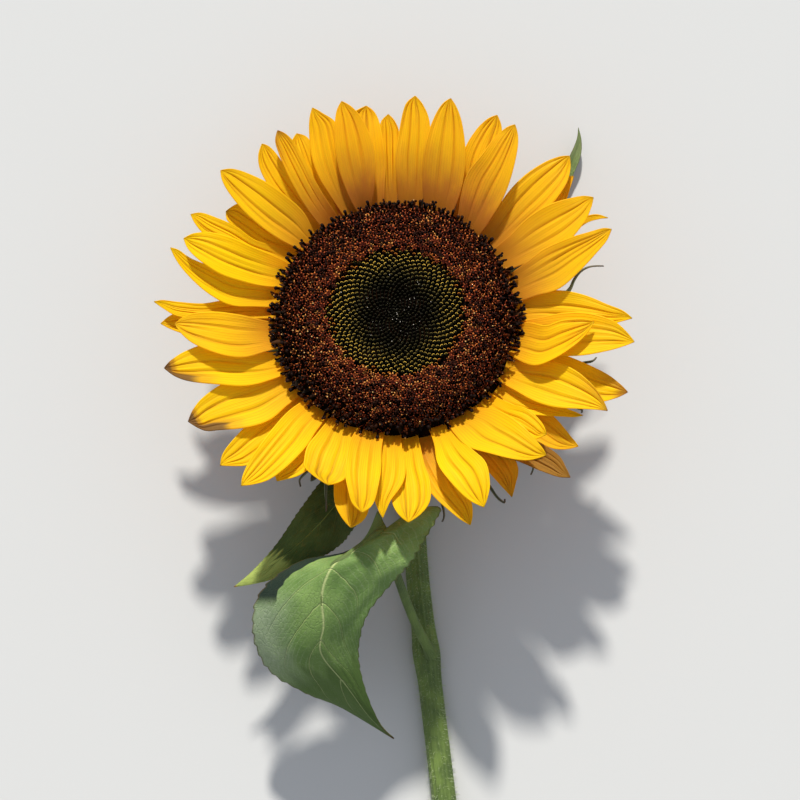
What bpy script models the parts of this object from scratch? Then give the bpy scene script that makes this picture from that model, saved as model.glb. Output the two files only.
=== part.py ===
"""A cut sunflower lying on its back, face up: one bloom, its bent neck, a length of stem and three leaves.

Metres, +Z up. The bloom's face looks up and leans a little away from the stem, which lies along -Y.
Its rays rise from the rim and then arch over, so the bloom is cupped.
The origin is on the ground, at the middle of the flower's footprint.
"""

import math

import bmesh
import bpy
from mathutils import Matrix, Vector

MM = 0.001

# Stem and neck
STEM_HEADING = math.radians(6.9)  # the stem runs along -Y, turned this much towards +X
STEM_RADIUS_TOP = 3.7 * MM
STEM_RADIUS_FOOT = 4.15 * MM
STEM_LENGTH = 172.0 * MM
STEM_POINTS = 22
NODE_SWELLING = 0.7 * MM  # where the low leaf's stalk joins
NODE_FROM_NECK = 92.0 * MM
NODE_REACH = 6.0 * MM
STEM_BOW = 3.6 * MM  # how far the stem swings to its left over its first stretch
STEM_BOW_LENGTH = 75.0 * MM
NECK_BEND_RADIUS = 16.0 * MM
NECK_STRAIGHT = 1.5 * MM  # before and after the bend
NECK_TOP_RADIUS = 5.4 * MM
NECK_POINTS = 12
GAP = 0.35 * MM  # between neighbouring solids
WELD = 0.01 * MM  # points nearer than this are joined
POINT_WELD = 0.02 * MM  # the same along a blade's pointed tip

# Bloom
BLOOM_TILT = math.radians(12.0)  # the face leans from straight up, away from the stem
RECEPTACLE_DEPTH = 18.0 * MM
RIM_RADIUS = 40.2 * MM
DISC_RADIUS = 40.2 * MM
BUD_RADIUS = 22.0 * MM
DISC_STEPS = 44
BACK_STEPS = 36

# Ray florets
RAY_ROOT = 40.9 * MM  # distance of a ray's root from the bloom's axis
RAY_THICKNESS = 0.5 * MM
RAY_CUP = 0.16  # how far the margins rise, as a share of the half width
RAY_CUP_LEVEL = 0.3  # share of the rise by which the middle sinks, so that the blade keeps its height
RAY_WIDENING = 1.1  # on the widths in the table
CLAW_WIDTH = 0.38  # at the root, as a share of the widest
CLAW_LENGTH = 0.40  # as a share of the ray's length
POINT_LENGTH = 3.4  # a higher power keeps the blade wide for longer
POINT_ROUNDNESS = 0.72  # a lower power blunts the point
SWEEP_DELAY = 1.3  # a higher power keeps a ray straight for longer before it turns aside
RAY_ALONG = 6
RAY_ACROSS = 4
SPINE_STEP = 0.02  # share of a blade's length over which its heading is taken
WHORL_HEIGHT = (2.2 * MM, 0.9 * MM, -0.4 * MM, -1.7 * MM)  # of the roots, front whorl first

# Each ray floret, anticlockwise: azimuth of the tip and of the root in degrees about the bloom's axis,
# then reach from that axis, width, height of the tip above the rim and arch in millimetres, and whorl.
RAYS = (
    (358.0, 3, 76.5, 13.0, 11.0, 2.6, 1),
    (20.7, 17, 75.0, 12.5, 15.0, 3.3, 0),
    (25.3, 24, 77.0, 10.5, 3.5, 1.2, 3),
    (30.9, 28, 75.4, 13.3, 11.0, 2.6, 1),
    (39.1, 37, 75.5, 11.0, 3.0, 1.2, 3),
    (43.3, 40, 78.9, 15.0, 7.0, 2.0, 2),
    (57.7, 50, 74.0, 14.6, 15.0, 3.2, 0),
    (63.8, 60, 75.7, 13.0, 7.0, 1.9, 2),
    (75.6, 69, 73.2, 14.0, 15.0, 3.1, 0),
    (85.0, 84, 74.0, 11.8, 11.5, 2.5, 1),
    (92.3, 91, 68.9, 12.0, 5.5, 1.6, 2),
    (98.1, 96, 71.1, 11.6, 9.0, 1.9, 1),
    (104.1, 103, 73.1, 14.0, 15.5, 3.1, 0),
    (111.8, 114, 74.8, 12.0, 11.0, 2.5, 1),
    (118.2, 119, 70.6, 11.5, 7.0, 1.8, 2),
    (122.9, 123, 72.1, 14.0, 15.5, 3.2, 0),
    (127.7, 129, 72.5, 12.4, 10.5, 2.5, 1),
    (140.7, 137, 74.8, 13.3, 14.0, 3.2, 0),
    (146.5, 146, 66.8, 11.5, 6.5, 1.6, 2),
    (153.6, 150, 75.6, 12.6, 11.0, 2.5, 1),
    (160.7, 157, 73.8, 15.0, 15.0, 3.3, 0),
    (163.6, 170, 76.9, 10.5, 11.0, 2.5, 1),
    (176.4, 178, 79.8, 11.0, 7.0, 1.9, 2),
    (181.2, 183, 77.2, 11.5, 2.5, 1.2, 3),
    (183.5, 188, 71.9, 14.0, 14.5, 3.3, 0),
    (193.9, 201, 77.7, 12.6, 12.0, 2.6, 1),
    (208.2, 211, 76.7, 13.2, 9.0, 1.9, 2),
    (221.2, 222, 76.1, 12.0, 6.5, 1.5, 3),
    (230.2, 228, 76.6, 14.0, 15.0, 3.0, 1),
    (235.8, 235, 68.7, 13.5, 9.5, 2.1, 2),
    (249.4, 243, 62.7, 14.4, 11.5, 2.6, 1),
    (259.1, 257, 73.1, 12.5, 6.0, 1.6, 3),
    (262.0, 260, 68.5, 12.6, 17.5, 4.0, 0),
    (266.7, 268, 68.5, 10.0, 10.5, 2.4, 2),
    (273.3, 276, 70.3, 13.4, 14.0, 3.2, 1),
    (288.4, 285, 74.9, 12.4, 10.0, 2.4, 2),
    (293.2, 293, 71.8, 15.0, 16.5, 3.8, 0),
    (301.3, 300, 71.9, 12.5, 4.5, 1.6, 3),
    (314.3, 309, 68.8, 13.6, 16.0, 3.8, 0),
    (315.1, 311, 78.6, 13.0, 7.5, 2.0, 2),
    (318.9, 320, 64.0, 10.5, 12.5, 2.5, 1),
    (322.4, 318, 74.2, 12.5, 2.5, 1.5, 3),
    (329.9, 328, 69.4, 11.0, 8.0, 1.9, 2),
    (333.6, 333, 76.2, 11.0, 12.5, 2.8, 1),
    (339.9, 344, 79.6, 12.5, 4.5, 1.4, 3),
    (351.6, 351, 78.0, 15.0, 15.0, 3.4, 0),
)

# Bracts: pointed green scales that spring from the receptacle's side and curl back to the ground
BRACT_COUNT = 24
BRACT_ROOT = 37.0 * MM
BRACT_ROOT_HEIGHT = -6.0 * MM
BRACT_SHOULDER = 50.0 * MM
BRACT_REACH = 59.0 * MM
BRACT_DROP = 4.0 * MM  # from the root to the shoulder
BRACT_REACH_VARIATION = 3.0 * MM
BRACT_REACH_STEP = 1.7  # radians between neighbours along the variation
BRACT_TURN_VARIATION = 3.0  # degrees
BRACT_TURN_STEP = 2.4  # radians between neighbours along the variation
BRACT_LIFT_OF_ODD = 5.0 * MM  # every second tip is held clear of the ground
BRACT_CUP = 0.2
BRACT_WIDTH = 12.0 * MM
BRACT_NECK = 0.75  # width at the root, as a share of the widest
BRACT_SPREAD = 0.6  # how far the sides part towards the tip
BRACT_TAPER = 0.6  # a lower power blunts the point
BRACT_THICKNESS = 0.8 * MM
BRACT_ALONG = 6
BRACT_ACROSS = 2
BRACT_REST = 0.4 * MM  # height of a resting tip's middle line
# Raised tips, as (from azimuth, to azimuth, tip height): over the stem and over each leaf that passes below
BRACT_RAISED = (
    (26.0, 66.0, 13.0 * MM),
    (205.0, 262.0, 35.0 * MM),
    (262.0, 300.0, 34.0 * MM),
    (300.0, 335.0, 16.0 * MM),
)

# Leaves: each is lofted through its left margin, midrib and right margin, root to tip.
# Millimetres from the ground point below the bloom's centre: across (+X), along (+Y), height.
LEAF_THICKNESS = 0.9 * MM
LEAF_ALONG = 14
LEAF_ACROSS = 6
LEAF_SWELL = 0.12  # how far each half of a blade arches, as a share of its width
LOW_LEAF = (
    ((-6.3, -62.8, 42.0), (-3.2, -68.2, 48.0), (4.9, -62.0, 47.0)),
    ((-10.2, -71.3, 41.0), (-9.6, -72.5, 51.5), (14.0, -61.5, 47.0)),
    ((-17.1, -76.4, 41.0), (-16.0, -76.9, 53.0), (10.2, -69.8, 49.5)),
    ((-32.2, -79.7, 42.0), (-21.3, -80.8, 54.0), (4.9, -78.3, 51.0)),
    ((-44.8, -89.8, 40.0), (-24.2, -89.0, 53.0), (-1.9, -86.1, 49.0)),
    ((-47.2, -103.4, 37.0), (-23.7, -99.2, 50.0), (-9.7, -96.3, 46.0)),
    ((-42.3, -115.5, 33.0), (-24.7, -108.9, 45.0), (-12.6, -107.9, 41.0)),
    ((-30.7, -123.4, 29.0), (-17.0, -119.7, 38.0), (-11.1, -119.7, 36.0)),
    ((-18.5, -129.1, 24.0), (-8.8, -131.8, 29.0), (-5.8, -133.8, 28.0)),
    ((-1.0, -139.8, 22.0), (-1.0, -139.8, 22.0), (-1.0, -139.8, 22.0)),
)
LEFT_LEAF = (
    ((-9.0, -44.4, 16.0), (-5.0, -46.9, 17.0), (-3.0, -51.9, 16.0)),
    ((-18.8, -46.8, 21.0), (-11.4, -52.3, 23.0), (-8.9, -61.7, 21.0)),
    ((-26.1, -54.6, 27.0), (-19.2, -60.0, 28.5), (-14.3, -68.9, 26.5)),
    ((-32.8, -63.7, 31.0), (-26.4, -68.1, 32.5), (-20.0, -75.4, 30.5)),
    ((-39.8, -74.1, 33.0), (-34.5, -75.6, 34.5), (-30.1, -80.9, 33.0)),
    ((-47.8, -83.0, 34.5), (-45.4, -84.0, 35.0), (-42.0, -85.9, 34.5)),
    ((-53.9, -88.1, 35.0), (-53.9, -88.1, 35.0), (-53.9, -88.1, 35.0)),
)
FAR_LEAF = (
    ((10.0, 4.0, 4.5), (13.0, 3.0, 4.5), (15.0, 1.0, 4.5)),
    ((15.0, 15.0, 4.0), (22.0, 11.0, 3.5), (29.0, 6.0, 3.5)),
    ((27.0, 27.0, 3.5), (35.0, 22.0, 2.5), (43.0, 18.0, 3.0)),
    ((42.0, 38.5, 3.0), (48.0, 34.5, 2.0), (53.5, 31.0, 3.0)),
    ((54.0, 48.5, 3.5), (56.4, 47.3, 2.5), (58.5, 46.5, 3.5)),
    ((58.8, 56.5, 4.0), (60.5, 56.5, 3.2), (62.4, 56.0, 4.0)),
    ((61.3, 62.4, 4.3), (62.1, 62.3, 4.0), (62.9, 62.2, 4.3)),
    ((61.9, 66.6, 4.5), (61.9, 66.6, 4.5), (61.9, 66.6, 4.5)),
)
# Leaf stalks: points from the stem to the blade, then the radius at the stem and at the blade
STALK_SIDES_RESOLUTION = 1
STALK_POINTS_PER_STRETCH = 3
LOW_STALK = (
    ((12.0, -112.8, 11.7), (7.2, -103.6, 18.5), (2.8, -92.6, 27.5),
     (-1.0, -81.0, 37.5), (-4.6, -69.6, 48.6)),
    1.7, 1.3,
)
LEFT_STALK = (
    ((-3.6, -36.5, 8.6), (-4.6, -42.0, 12.0), (-6.6, -47.7, 17.0)),
    1.5, 1.2,
)
FAR_STALK = (
    ((8.4, -27.0, 5.0), (11.5, -17.0, 5.0), (12.6, -6.0, 4.8), (13.6, 4.6, 4.5)),
    1.4, 1.2,
)


def ground_point(across, along, height):
    return Vector((across, along, height)) * MM


# The stem's line on the ground, away from the bloom, and the bloom's own axes
STEM_WAY = Vector((math.sin(STEM_HEADING), -math.cos(STEM_HEADING), 0.0))
STEM_SIDE = Vector((math.cos(STEM_HEADING), math.sin(STEM_HEADING), 0.0))
BLOOM_AXIS = (Vector((0, 0, 1)) * math.cos(BLOOM_TILT) - STEM_WAY * math.sin(BLOOM_TILT)).normalized()
BLOOM_RIGHT = (Vector((1, 0, 0)) - BLOOM_AXIS * BLOOM_AXIS.x).normalized()
BLOOM_UP = BLOOM_AXIS.cross(BLOOM_RIGHT)

# The neck turns from the bloom's back to the ground in one arc
NECK_TURN = math.pi / 2 - BLOOM_TILT
NECK_DROP = NECK_BEND_RADIUS * (1 - math.cos(NECK_TURN))
BACK_HEIGHT = STEM_RADIUS_TOP + NECK_DROP + NECK_STRAIGHT * math.cos(BLOOM_TILT)
BLOOM_HEIGHT = BACK_HEIGHT + RECEPTACLE_DEPTH * math.cos(BLOOM_TILT)
BLOOM_CENTRE = Vector((0, 0, BLOOM_HEIGHT))


def in_bloom(radius, azimuth, height):
    """A point given about the bloom's axis: distance from it, azimuth and height above the rim."""
    outward = BLOOM_RIGHT * math.cos(azimuth) + BLOOM_UP * math.sin(azimuth)
    return BLOOM_CENTRE + outward * radius + BLOOM_AXIS * height


def bloom_matrix():
    turned = Matrix((BLOOM_RIGHT, BLOOM_UP, BLOOM_AXIS)).transposed().to_4x4()
    return Matrix.Translation(BLOOM_CENTRE) @ turned


def clear_scene():
    for obj in list(bpy.data.objects):
        bpy.data.objects.remove(obj, do_unlink=True)


def new_collection(name):
    collection = bpy.data.collections.new(name)
    bpy.context.scene.collection.children.link(collection)
    return collection


def new_material(name, colour, roughness):
    material = bpy.data.materials.new(name)
    material.use_nodes = True
    shader = material.node_tree.nodes["Principled BSDF"]
    shader.inputs["Base Color"].default_value = (*colour, 1.0)
    shader.inputs["Roughness"].default_value = roughness
    shader.inputs["Metallic"].default_value = 0.0
    return material


def add_object(name, data, collection, material):
    obj = bpy.data.objects.new(name, data)
    collection.objects.link(obj)
    data.materials.append(material)
    return obj


def mesh_of(obj, collection):
    """Replaces an object by a plain mesh of what its modifiers or its bevel make, with welded caps."""
    bpy.context.view_layer.update()
    graph = bpy.context.evaluated_depsgraph_get()
    mesh = bpy.data.meshes.new_from_object(obj.evaluated_get(graph))
    work = bmesh.new()
    work.from_mesh(mesh)
    bmesh.ops.remove_doubles(work, verts=work.verts, dist=WELD)
    work.to_mesh(mesh)
    work.free()
    name = obj.name
    made = bpy.data.objects.new(name + "_mesh", mesh)
    made.matrix_world = obj.matrix_world.copy()
    bpy.data.objects.remove(obj, do_unlink=True)
    made.name = name
    collection.objects.link(made)
    return made


def join_all(body, others_collection, collection):
    """One Boolean union of a body with every object of a collection, applied."""
    union = body.modifiers.new("join", "BOOLEAN")
    union.operation = "UNION"
    union.operand_type = "COLLECTION"
    union.collection = others_collection
    union.solver = "EXACT"
    made = mesh_of(body, collection)
    for other in list(others_collection.objects):
        bpy.data.objects.remove(other, do_unlink=True)
    bpy.data.collections.remove(others_collection)
    return made


def turned_solid(name, profile, collection, material, steps=DISC_STEPS):
    """A profile of (radius, height) in millimetres, down its outer side, spun about the bloom's axis."""
    mesh = bpy.data.meshes.new(name)
    points = [(radius * MM, 0.0, height * MM) for radius, height in profile]
    edges = [(i, i + 1) for i in range(len(points) - 1)]
    mesh.from_pydata(points, edges, [])
    obj = add_object(name, mesh, collection, material)
    screw = obj.modifiers.new("turn", "SCREW")
    screw.steps = steps
    screw.render_steps = steps
    screw.use_merge_vertices = True
    screw.merge_threshold = WELD
    screw.use_smooth_shade = True
    obj.matrix_world = bloom_matrix()
    return obj


def thin_sheet(name, along, across, place, thickness, collection, material):
    """A grid bent by place(u, v), with u from root to tip and v from margin to margin, then thickened."""
    work = bmesh.new()
    bmesh.ops.create_grid(work, x_segments=along, y_segments=across, size=1.0)
    for vert in work.verts:
        vert.co = place((vert.co.x + 1) / 2, vert.co.y)
    bmesh.ops.remove_doubles(work, verts=work.verts, dist=POINT_WELD)
    mesh = bpy.data.meshes.new(name)
    work.to_mesh(mesh)
    work.free()
    mesh.shade_smooth()
    obj = add_object(name, mesh, collection, material)
    solidify = obj.modifiers.new("thickness", "SOLIDIFY")
    solidify.thickness = thickness
    solidify.offset = 0.0
    return obj


def tube(name, points, radii, collection, material, resolution=2):
    """A tube along points, with its own radius at each, closed by flat caps."""
    curve = bpy.data.curves.new(name, "CURVE")
    curve.dimensions = "3D"
    curve.bevel_depth = 1.0 * MM
    curve.bevel_resolution = resolution
    curve.use_fill_caps = True
    spline = curve.splines.new("POLY")
    spline.points.add(len(points) - 1)
    for point, position, radius in zip(spline.points, points, radii):
        point.co = (*position, 1.0)
        point.radius = radius / MM
    return add_object(name, curve, collection, material)


def smooth_step(value):
    value = min(max(value, 0.0), 1.0)
    return value * value * (3 - 2 * value)


def mixed(start, end, share):
    return start + (end - start) * share


def through(points, share):
    """A smooth (Catmull-Rom) curve through points, read at a share of their number from 0 to 1."""
    spans = len(points) - 1
    at = min(max(share, 0.0), 1.0) * spans
    first = min(int(at), spans - 1)
    t = at - first
    a, b, c, d = (points[min(max(first + k, 0), spans)] for k in (-1, 0, 1, 2))
    slope_in, slope_out = (c - a) / 2, (d - b) / 2
    return (b * (2 * t**3 - 3 * t**2 + 1) + slope_in * (t**3 - 2 * t**2 + t)
            + c * (3 * t**2 - 2 * t**3) + slope_out * (t**3 - t**2))


# Stem and neck


def stem_radius(distance):
    """Radius at a distance from the neck's end, swollen where the low leaf's stalk joins."""
    plain = mixed(STEM_RADIUS_TOP, STEM_RADIUS_FOOT, distance / STEM_LENGTH)
    return plain + NODE_SWELLING * math.exp(-((distance - NODE_FROM_NECK) / NODE_REACH) ** 2)


def neck_line():
    """The neck's middle line: straight out of the receptacle, round the bend, then along the ground."""
    back = BLOOM_CENTRE - BLOOM_AXIS * RECEPTACLE_DEPTH
    points = [back - BLOOM_AXIS * GAP]
    bend_start = back - BLOOM_AXIS * NECK_STRAIGHT
    for i in range(NECK_POINTS):
        angle = NECK_TURN * (1 - i / (NECK_POINTS - 1))
        ahead = NECK_BEND_RADIUS * (math.sin(NECK_TURN) - math.sin(angle))
        drop = NECK_BEND_RADIUS * (math.cos(angle) - math.cos(NECK_TURN))
        points.append(bend_start + STEM_WAY * ahead - Vector((0, 0, drop)))
    points.append(points[-1] + STEM_WAY * NECK_STRAIGHT)
    return points


def make_neck(collection, material):
    points = neck_line()
    bend_end = NECK_POINTS - 2
    radii = [mixed(NECK_TOP_RADIUS, STEM_RADIUS_TOP, smooth_step(i / bend_end)) for i in range(len(points))]
    tube("neck", points, radii, collection, material)


def make_stem(collection, material):
    start = neck_line()[-1]
    points, radii = [], []
    for i in range(STEM_POINTS):
        distance = mixed(GAP, STEM_LENGTH, i / (STEM_POINTS - 1))
        radius = stem_radius(distance)
        bow = STEM_BOW * smooth_step(distance / STEM_BOW_LENGTH)
        on_line = start + STEM_WAY * distance - STEM_SIDE * bow
        points.append(Vector((on_line.x, on_line.y, radius)))
        radii.append(radius)
    tube("stem", points, radii, collection, material)


# Bloom


def make_disc(collection, floret_material, bud_material):
    rim = RIM_RADIUS / MM
    outer = DISC_RADIUS / MM
    inner = BUD_RADIUS / MM
    gap = GAP / MM
    florets = (
        (inner + gap, 12.4), (26.5, 13.3), (30.5, 13.0), (35.0, 11.5), (38.4, 9.0), (outer, 6.8),
        (outer - 0.4, 5.0), (rim - 0.9, 4.2), (rim - 1.4, gap), (inner + gap, gap), (inner + gap, 12.4),
    )
    turned_solid("disc_florets", florets, collection, floret_material)
    buds = ((0.0, 11.0), (8.0, 11.3), (15.0, 11.7), (20.5, 11.5), (inner, 10.6), (inner, gap), (0.0, gap))
    turned_solid("disc_buds", buds, collection, bud_material)


def across_spine(spine, share):
    """The ways across a blade and up from it at a share of its spine's length."""
    ahead = (spine(min(share + SPINE_STEP, 1)) - spine(max(share - SPINE_STEP, 0))).normalized()
    aside = BLOOM_AXIS.cross(ahead).normalized()
    return aside, ahead.cross(aside)


def ray_half_width(share):
    """Half width as a share of the widest: a narrow claw, widest past the middle, drawn out to a point."""
    claw = mixed(CLAW_WIDTH, 1.0, smooth_step(share / CLAW_LENGTH))
    point = max(0.0, 1 - share**POINT_LENGTH) ** POINT_ROUNDNESS
    return claw * point


def ray_place(tip_azimuth, root_azimuth, reach, width, tip_height, arch, whorl):
    """The place(u, v) of one ray floret's blade."""
    sweep = math.radians((tip_azimuth - root_azimuth + 180) % 360 - 180)
    root = math.radians(root_azimuth)
    root_height = WHORL_HEIGHT[whorl]
    length = reach * MM - RAY_ROOT

    def spine(u):
        height = mixed(root_height, tip_height * MM, u) + arch * MM * 4 * u * (1 - u)
        return in_bloom(RAY_ROOT + length * u, root + sweep * u**SWEEP_DELAY, height)

    def place(u, v):
        aside, lift = across_spine(spine, u)
        half = width * RAY_WIDENING * MM / 2 * ray_half_width(u)
        return spine(u) + aside * (half * v) + lift * (half * RAY_CUP * (v * v - RAY_CUP_LEVEL))

    return place


def make_rays(collection, material):
    for number, row in enumerate(RAYS, start=1):
        name = f"ray_{number:02d}"
        thin_sheet(name, RAY_ALONG, RAY_ACROSS, ray_place(*row), RAY_THICKNESS, collection, material)


def bract_tip_height(azimuth_degrees, number):
    for start, end, height in BRACT_RAISED:
        if start <= azimuth_degrees < end:
            return height
    return BRACT_REST + (0.0 if number % 2 == 0 else BRACT_LIFT_OF_ODD)


def bract_place(number):
    """The place(u, v) of one bract: broad at its root, drawn out to a long point that curls down."""
    turn = BRACT_TURN_VARIATION * math.sin(number * BRACT_TURN_STEP)
    azimuth_degrees = number * 360 / BRACT_COUNT + turn
    azimuth = math.radians(azimuth_degrees)
    reach = BRACT_REACH + BRACT_REACH_VARIATION * math.sin(number * BRACT_REACH_STEP)
    root = in_bloom(BRACT_ROOT, azimuth, BRACT_ROOT_HEIGHT)
    shoulder = in_bloom(BRACT_SHOULDER, azimuth, BRACT_ROOT_HEIGHT - BRACT_DROP)
    tip = Vector((math.cos(azimuth) * reach, math.sin(azimuth) * reach,
                  bract_tip_height(azimuth_degrees % 360, number)))

    def spine(u):
        return root * (1 - u) ** 2 + shoulder * (2 * u * (1 - u)) + tip * u**2

    def place(u, v):
        aside, lift = across_spine(spine, u)
        half = BRACT_WIDTH / 2 * (1 - u) ** BRACT_TAPER * (BRACT_NECK + BRACT_SPREAD * u)
        return spine(u) + aside * (half * v) + lift * (half * BRACT_CUP * v * v)

    return place


def make_calyx(collection, material):
    """The receptacle's green back, with its bracts fused on."""
    rim = RIM_RADIUS / MM
    depth = RECEPTACLE_DEPTH / MM
    back = (
        (0.0, 0.0), (rim, 0.0), (rim + 0.1, -1.2), (rim - 0.8, -5.0), (36.0, -9.0), (28.0, -12.4),
        (17.0, -15.2), (9.0, -17.0), (6.2, -depth), (0.0, -depth),
    )
    receptacle = turned_solid("calyx_body", back, collection, material, steps=BACK_STEPS)
    body = mesh_of(receptacle, collection)
    body.name = "calyx"
    bracts = new_collection("bracts")
    for number in range(BRACT_COUNT):
        name = f"bract_{number:02d}"
        place = bract_place(number)
        bract = thin_sheet(name, BRACT_ALONG, BRACT_ACROSS, place, BRACT_THICKNESS, bracts, material)
        mesh_of(bract, bracts)
    join_all(body, bracts, collection)


# Leaves


def leaf_place(rows):
    """The place(u, v) of a blade through its left margin, midrib and right margin."""
    left, middle, right = ([ground_point(*row[side]) for row in rows] for side in range(3))

    def place(u, v):
        rib = through(middle, u)
        side = through(left if v < 0 else right, u)
        across = abs(v)
        flat = rib.lerp(side, across)
        swell = (side - rib).length * LEAF_SWELL * across * (1 - across)
        return flat + Vector((0, 0, swell))

    return place


def make_leaf(name, rows, stalk, collection, material):
    points, root_radius, blade_radius = stalk
    line = [ground_point(*point) for point in points]
    count = STALK_POINTS_PER_STRETCH * (len(line) - 1) + 1
    run = [through(line, i / (count - 1)) for i in range(count)]
    radii = [mixed(root_radius, blade_radius, i / (count - 1)) * MM for i in range(count)]
    blade = thin_sheet(name, LEAF_ALONG, LEAF_ACROSS, leaf_place(rows), LEAF_THICKNESS, collection, material)
    body = mesh_of(blade, collection)
    stalks = new_collection(name + "_stalk")
    mesh_of(tube(name + "_stalk", run, radii, stalks, material, STALK_SIDES_RESOLUTION), stalks)
    join_all(body, stalks, collection)


def centre_on_ground(collection):
    """Moves everything so that the origin is at the middle of the footprint, on the ground."""
    bpy.context.view_layer.update()
    graph = bpy.context.evaluated_depsgraph_get()
    low = Vector((math.inf,) * 3)
    high = -low
    for obj in collection.objects:
        shown = obj.evaluated_get(graph)
        mesh = shown.to_mesh()
        for vert in mesh.vertices:
            point = shown.matrix_world @ vert.co
            low = Vector(map(min, low, point))
            high = Vector(map(max, high, point))
        shown.to_mesh_clear()
    middle = Vector(((low.x + high.x) / 2, (low.y + high.y) / 2, low.z))
    for obj in collection.objects:
        obj.matrix_world = Matrix.Translation(-middle) @ obj.matrix_world


def main():
    clear_scene()
    flower = new_collection("sunflower")
    petal = new_material("ray_petal", (0.90, 0.52, 0.01), 0.55)
    floret = new_material("disc_floret", (0.07, 0.02, 0.012), 0.7)
    bud = new_material("disc_bud", (0.03, 0.03, 0.012), 0.7)
    green = new_material("calyx_green", (0.16, 0.26, 0.06), 0.65)
    stalk = new_material("stem_green", (0.15, 0.24, 0.07), 0.6)
    leaf = new_material("leaf_green", (0.10, 0.20, 0.05), 0.55)
    make_stem(flower, stalk)
    make_neck(flower, stalk)
    make_calyx(flower, green)
    make_disc(flower, floret, bud)
    make_rays(flower, petal)
    make_leaf("low_leaf", LOW_LEAF, LOW_STALK, flower, leaf)
    make_leaf("left_leaf", LEFT_LEAF, LEFT_STALK, flower, leaf)
    make_leaf("far_leaf", FAR_LEAF, FAR_STALK, flower, leaf)
    centre_on_ground(flower)


main()
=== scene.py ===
import math
import random

import bmesh
import bpy
import numpy as np
from mathutils import Matrix, Vector, noise


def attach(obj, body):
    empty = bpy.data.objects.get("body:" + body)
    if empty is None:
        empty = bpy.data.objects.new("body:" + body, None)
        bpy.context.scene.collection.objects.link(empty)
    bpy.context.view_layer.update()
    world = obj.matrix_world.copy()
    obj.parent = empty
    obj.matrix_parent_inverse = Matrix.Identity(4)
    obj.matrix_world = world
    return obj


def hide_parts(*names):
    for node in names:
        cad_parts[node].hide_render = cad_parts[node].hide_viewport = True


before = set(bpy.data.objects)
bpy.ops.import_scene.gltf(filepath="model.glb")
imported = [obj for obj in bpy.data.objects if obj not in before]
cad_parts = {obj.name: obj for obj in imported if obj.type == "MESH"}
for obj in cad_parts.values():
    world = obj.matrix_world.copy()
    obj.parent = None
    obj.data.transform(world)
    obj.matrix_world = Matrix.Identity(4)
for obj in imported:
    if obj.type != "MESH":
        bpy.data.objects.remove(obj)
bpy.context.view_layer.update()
mm = 0.001
print("solids loaded")


# Where things are: the flower's own frame, with its centre worked out from the solids

flowerFrame = {
    "headingDegrees": 6.9,  # the stem runs along -Y, turned this much towards +X
    "tiltDegrees": 12.0,  # the face leans this much from straight up, away from the stem
    "gap": 0.35 * mm,
    "receptacleDepth": 18.0 * mm,
    "ringBand": 0.05 * mm,  # points this near the lowest belong to the solid's lowest ring
}
roundTurn = 6.28  # about a full turn, for random angles
heading = math.radians(flowerFrame["headingDegrees"])
tilt = math.radians(flowerFrame["tiltDegrees"])
stemWay = Vector((math.sin(heading), -math.cos(heading), 0.0))
stemSide = Vector((math.cos(heading), math.sin(heading), 0.0))
faceAxis = (Vector((0, 0, 1)) * math.cos(tilt) - stemWay * math.sin(tilt)).normalized()
faceRight = (Vector((1, 0, 0)) - faceAxis * faceAxis.x).normalized()
faceUp = faceAxis.cross(faceRight)


def findBloomCentre():
    points = {tuple(round(c, 6) for c in v.co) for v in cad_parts["disc_buds"].data.vertices}
    heights = {p: Vector(p).dot(faceAxis) for p in points}
    lowest = min(heights.values())
    ring = [Vector(p) for p in points if heights[p] < lowest + flowerFrame["ringBand"]]
    middle = sum(ring, Vector()) / len(ring)
    return middle - faceAxis * flowerFrame["gap"]


bloomCentre = findBloomCentre()
groundSpot = Vector((bloomCentre.x, bloomCentre.y, 0.0))  # on the ground, straight below the bloom's centre


def outwardAt(azimuth):
    return faceRight * math.cos(azimuth) + faceUp * math.sin(azimuth)


def inBloom(radius, azimuth, height):
    return bloomCentre + outwardAt(azimuth) * radius + faceAxis * height


def onGround(across, along, height):  # millimetres about the ground spot
    return groundSpot + Vector((across, along, height)) * mm


def mixed(start, end, share):
    return start + (end - start) * share


def eased(value, low=0.0, high=1.0):  # 0 below low, 1 above high, smooth between
    share = min(max((value - low) / (high - low), 0.0), 1.0)
    return share * share * (3 - 2 * share)


def bump(value, centre, reach):  # 1 at the centre, falling to both sides
    return math.exp(-((value - centre) / reach) ** 2)


def through(points, share):  # a smooth line through the points, from 0 to 1
    spans = len(points) - 1
    at = min(max(share, 0.0), 1.0) * spans
    first = min(int(at), spans - 1)
    t = at - first
    a, b, c, d = (points[min(max(first + k, 0), spans)] for k in (-1, 0, 1, 2))
    slopeIn, slopeOut = (c - a) / 2, (d - b) / 2
    return (b * (2 * t**3 - 3 * t**2 + 1) + slopeIn * (t**3 - 2 * t**2 + t)
            + c * (3 * t**2 - 2 * t**3) + slopeOut * (t**3 - t**2))


# Materials


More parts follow.
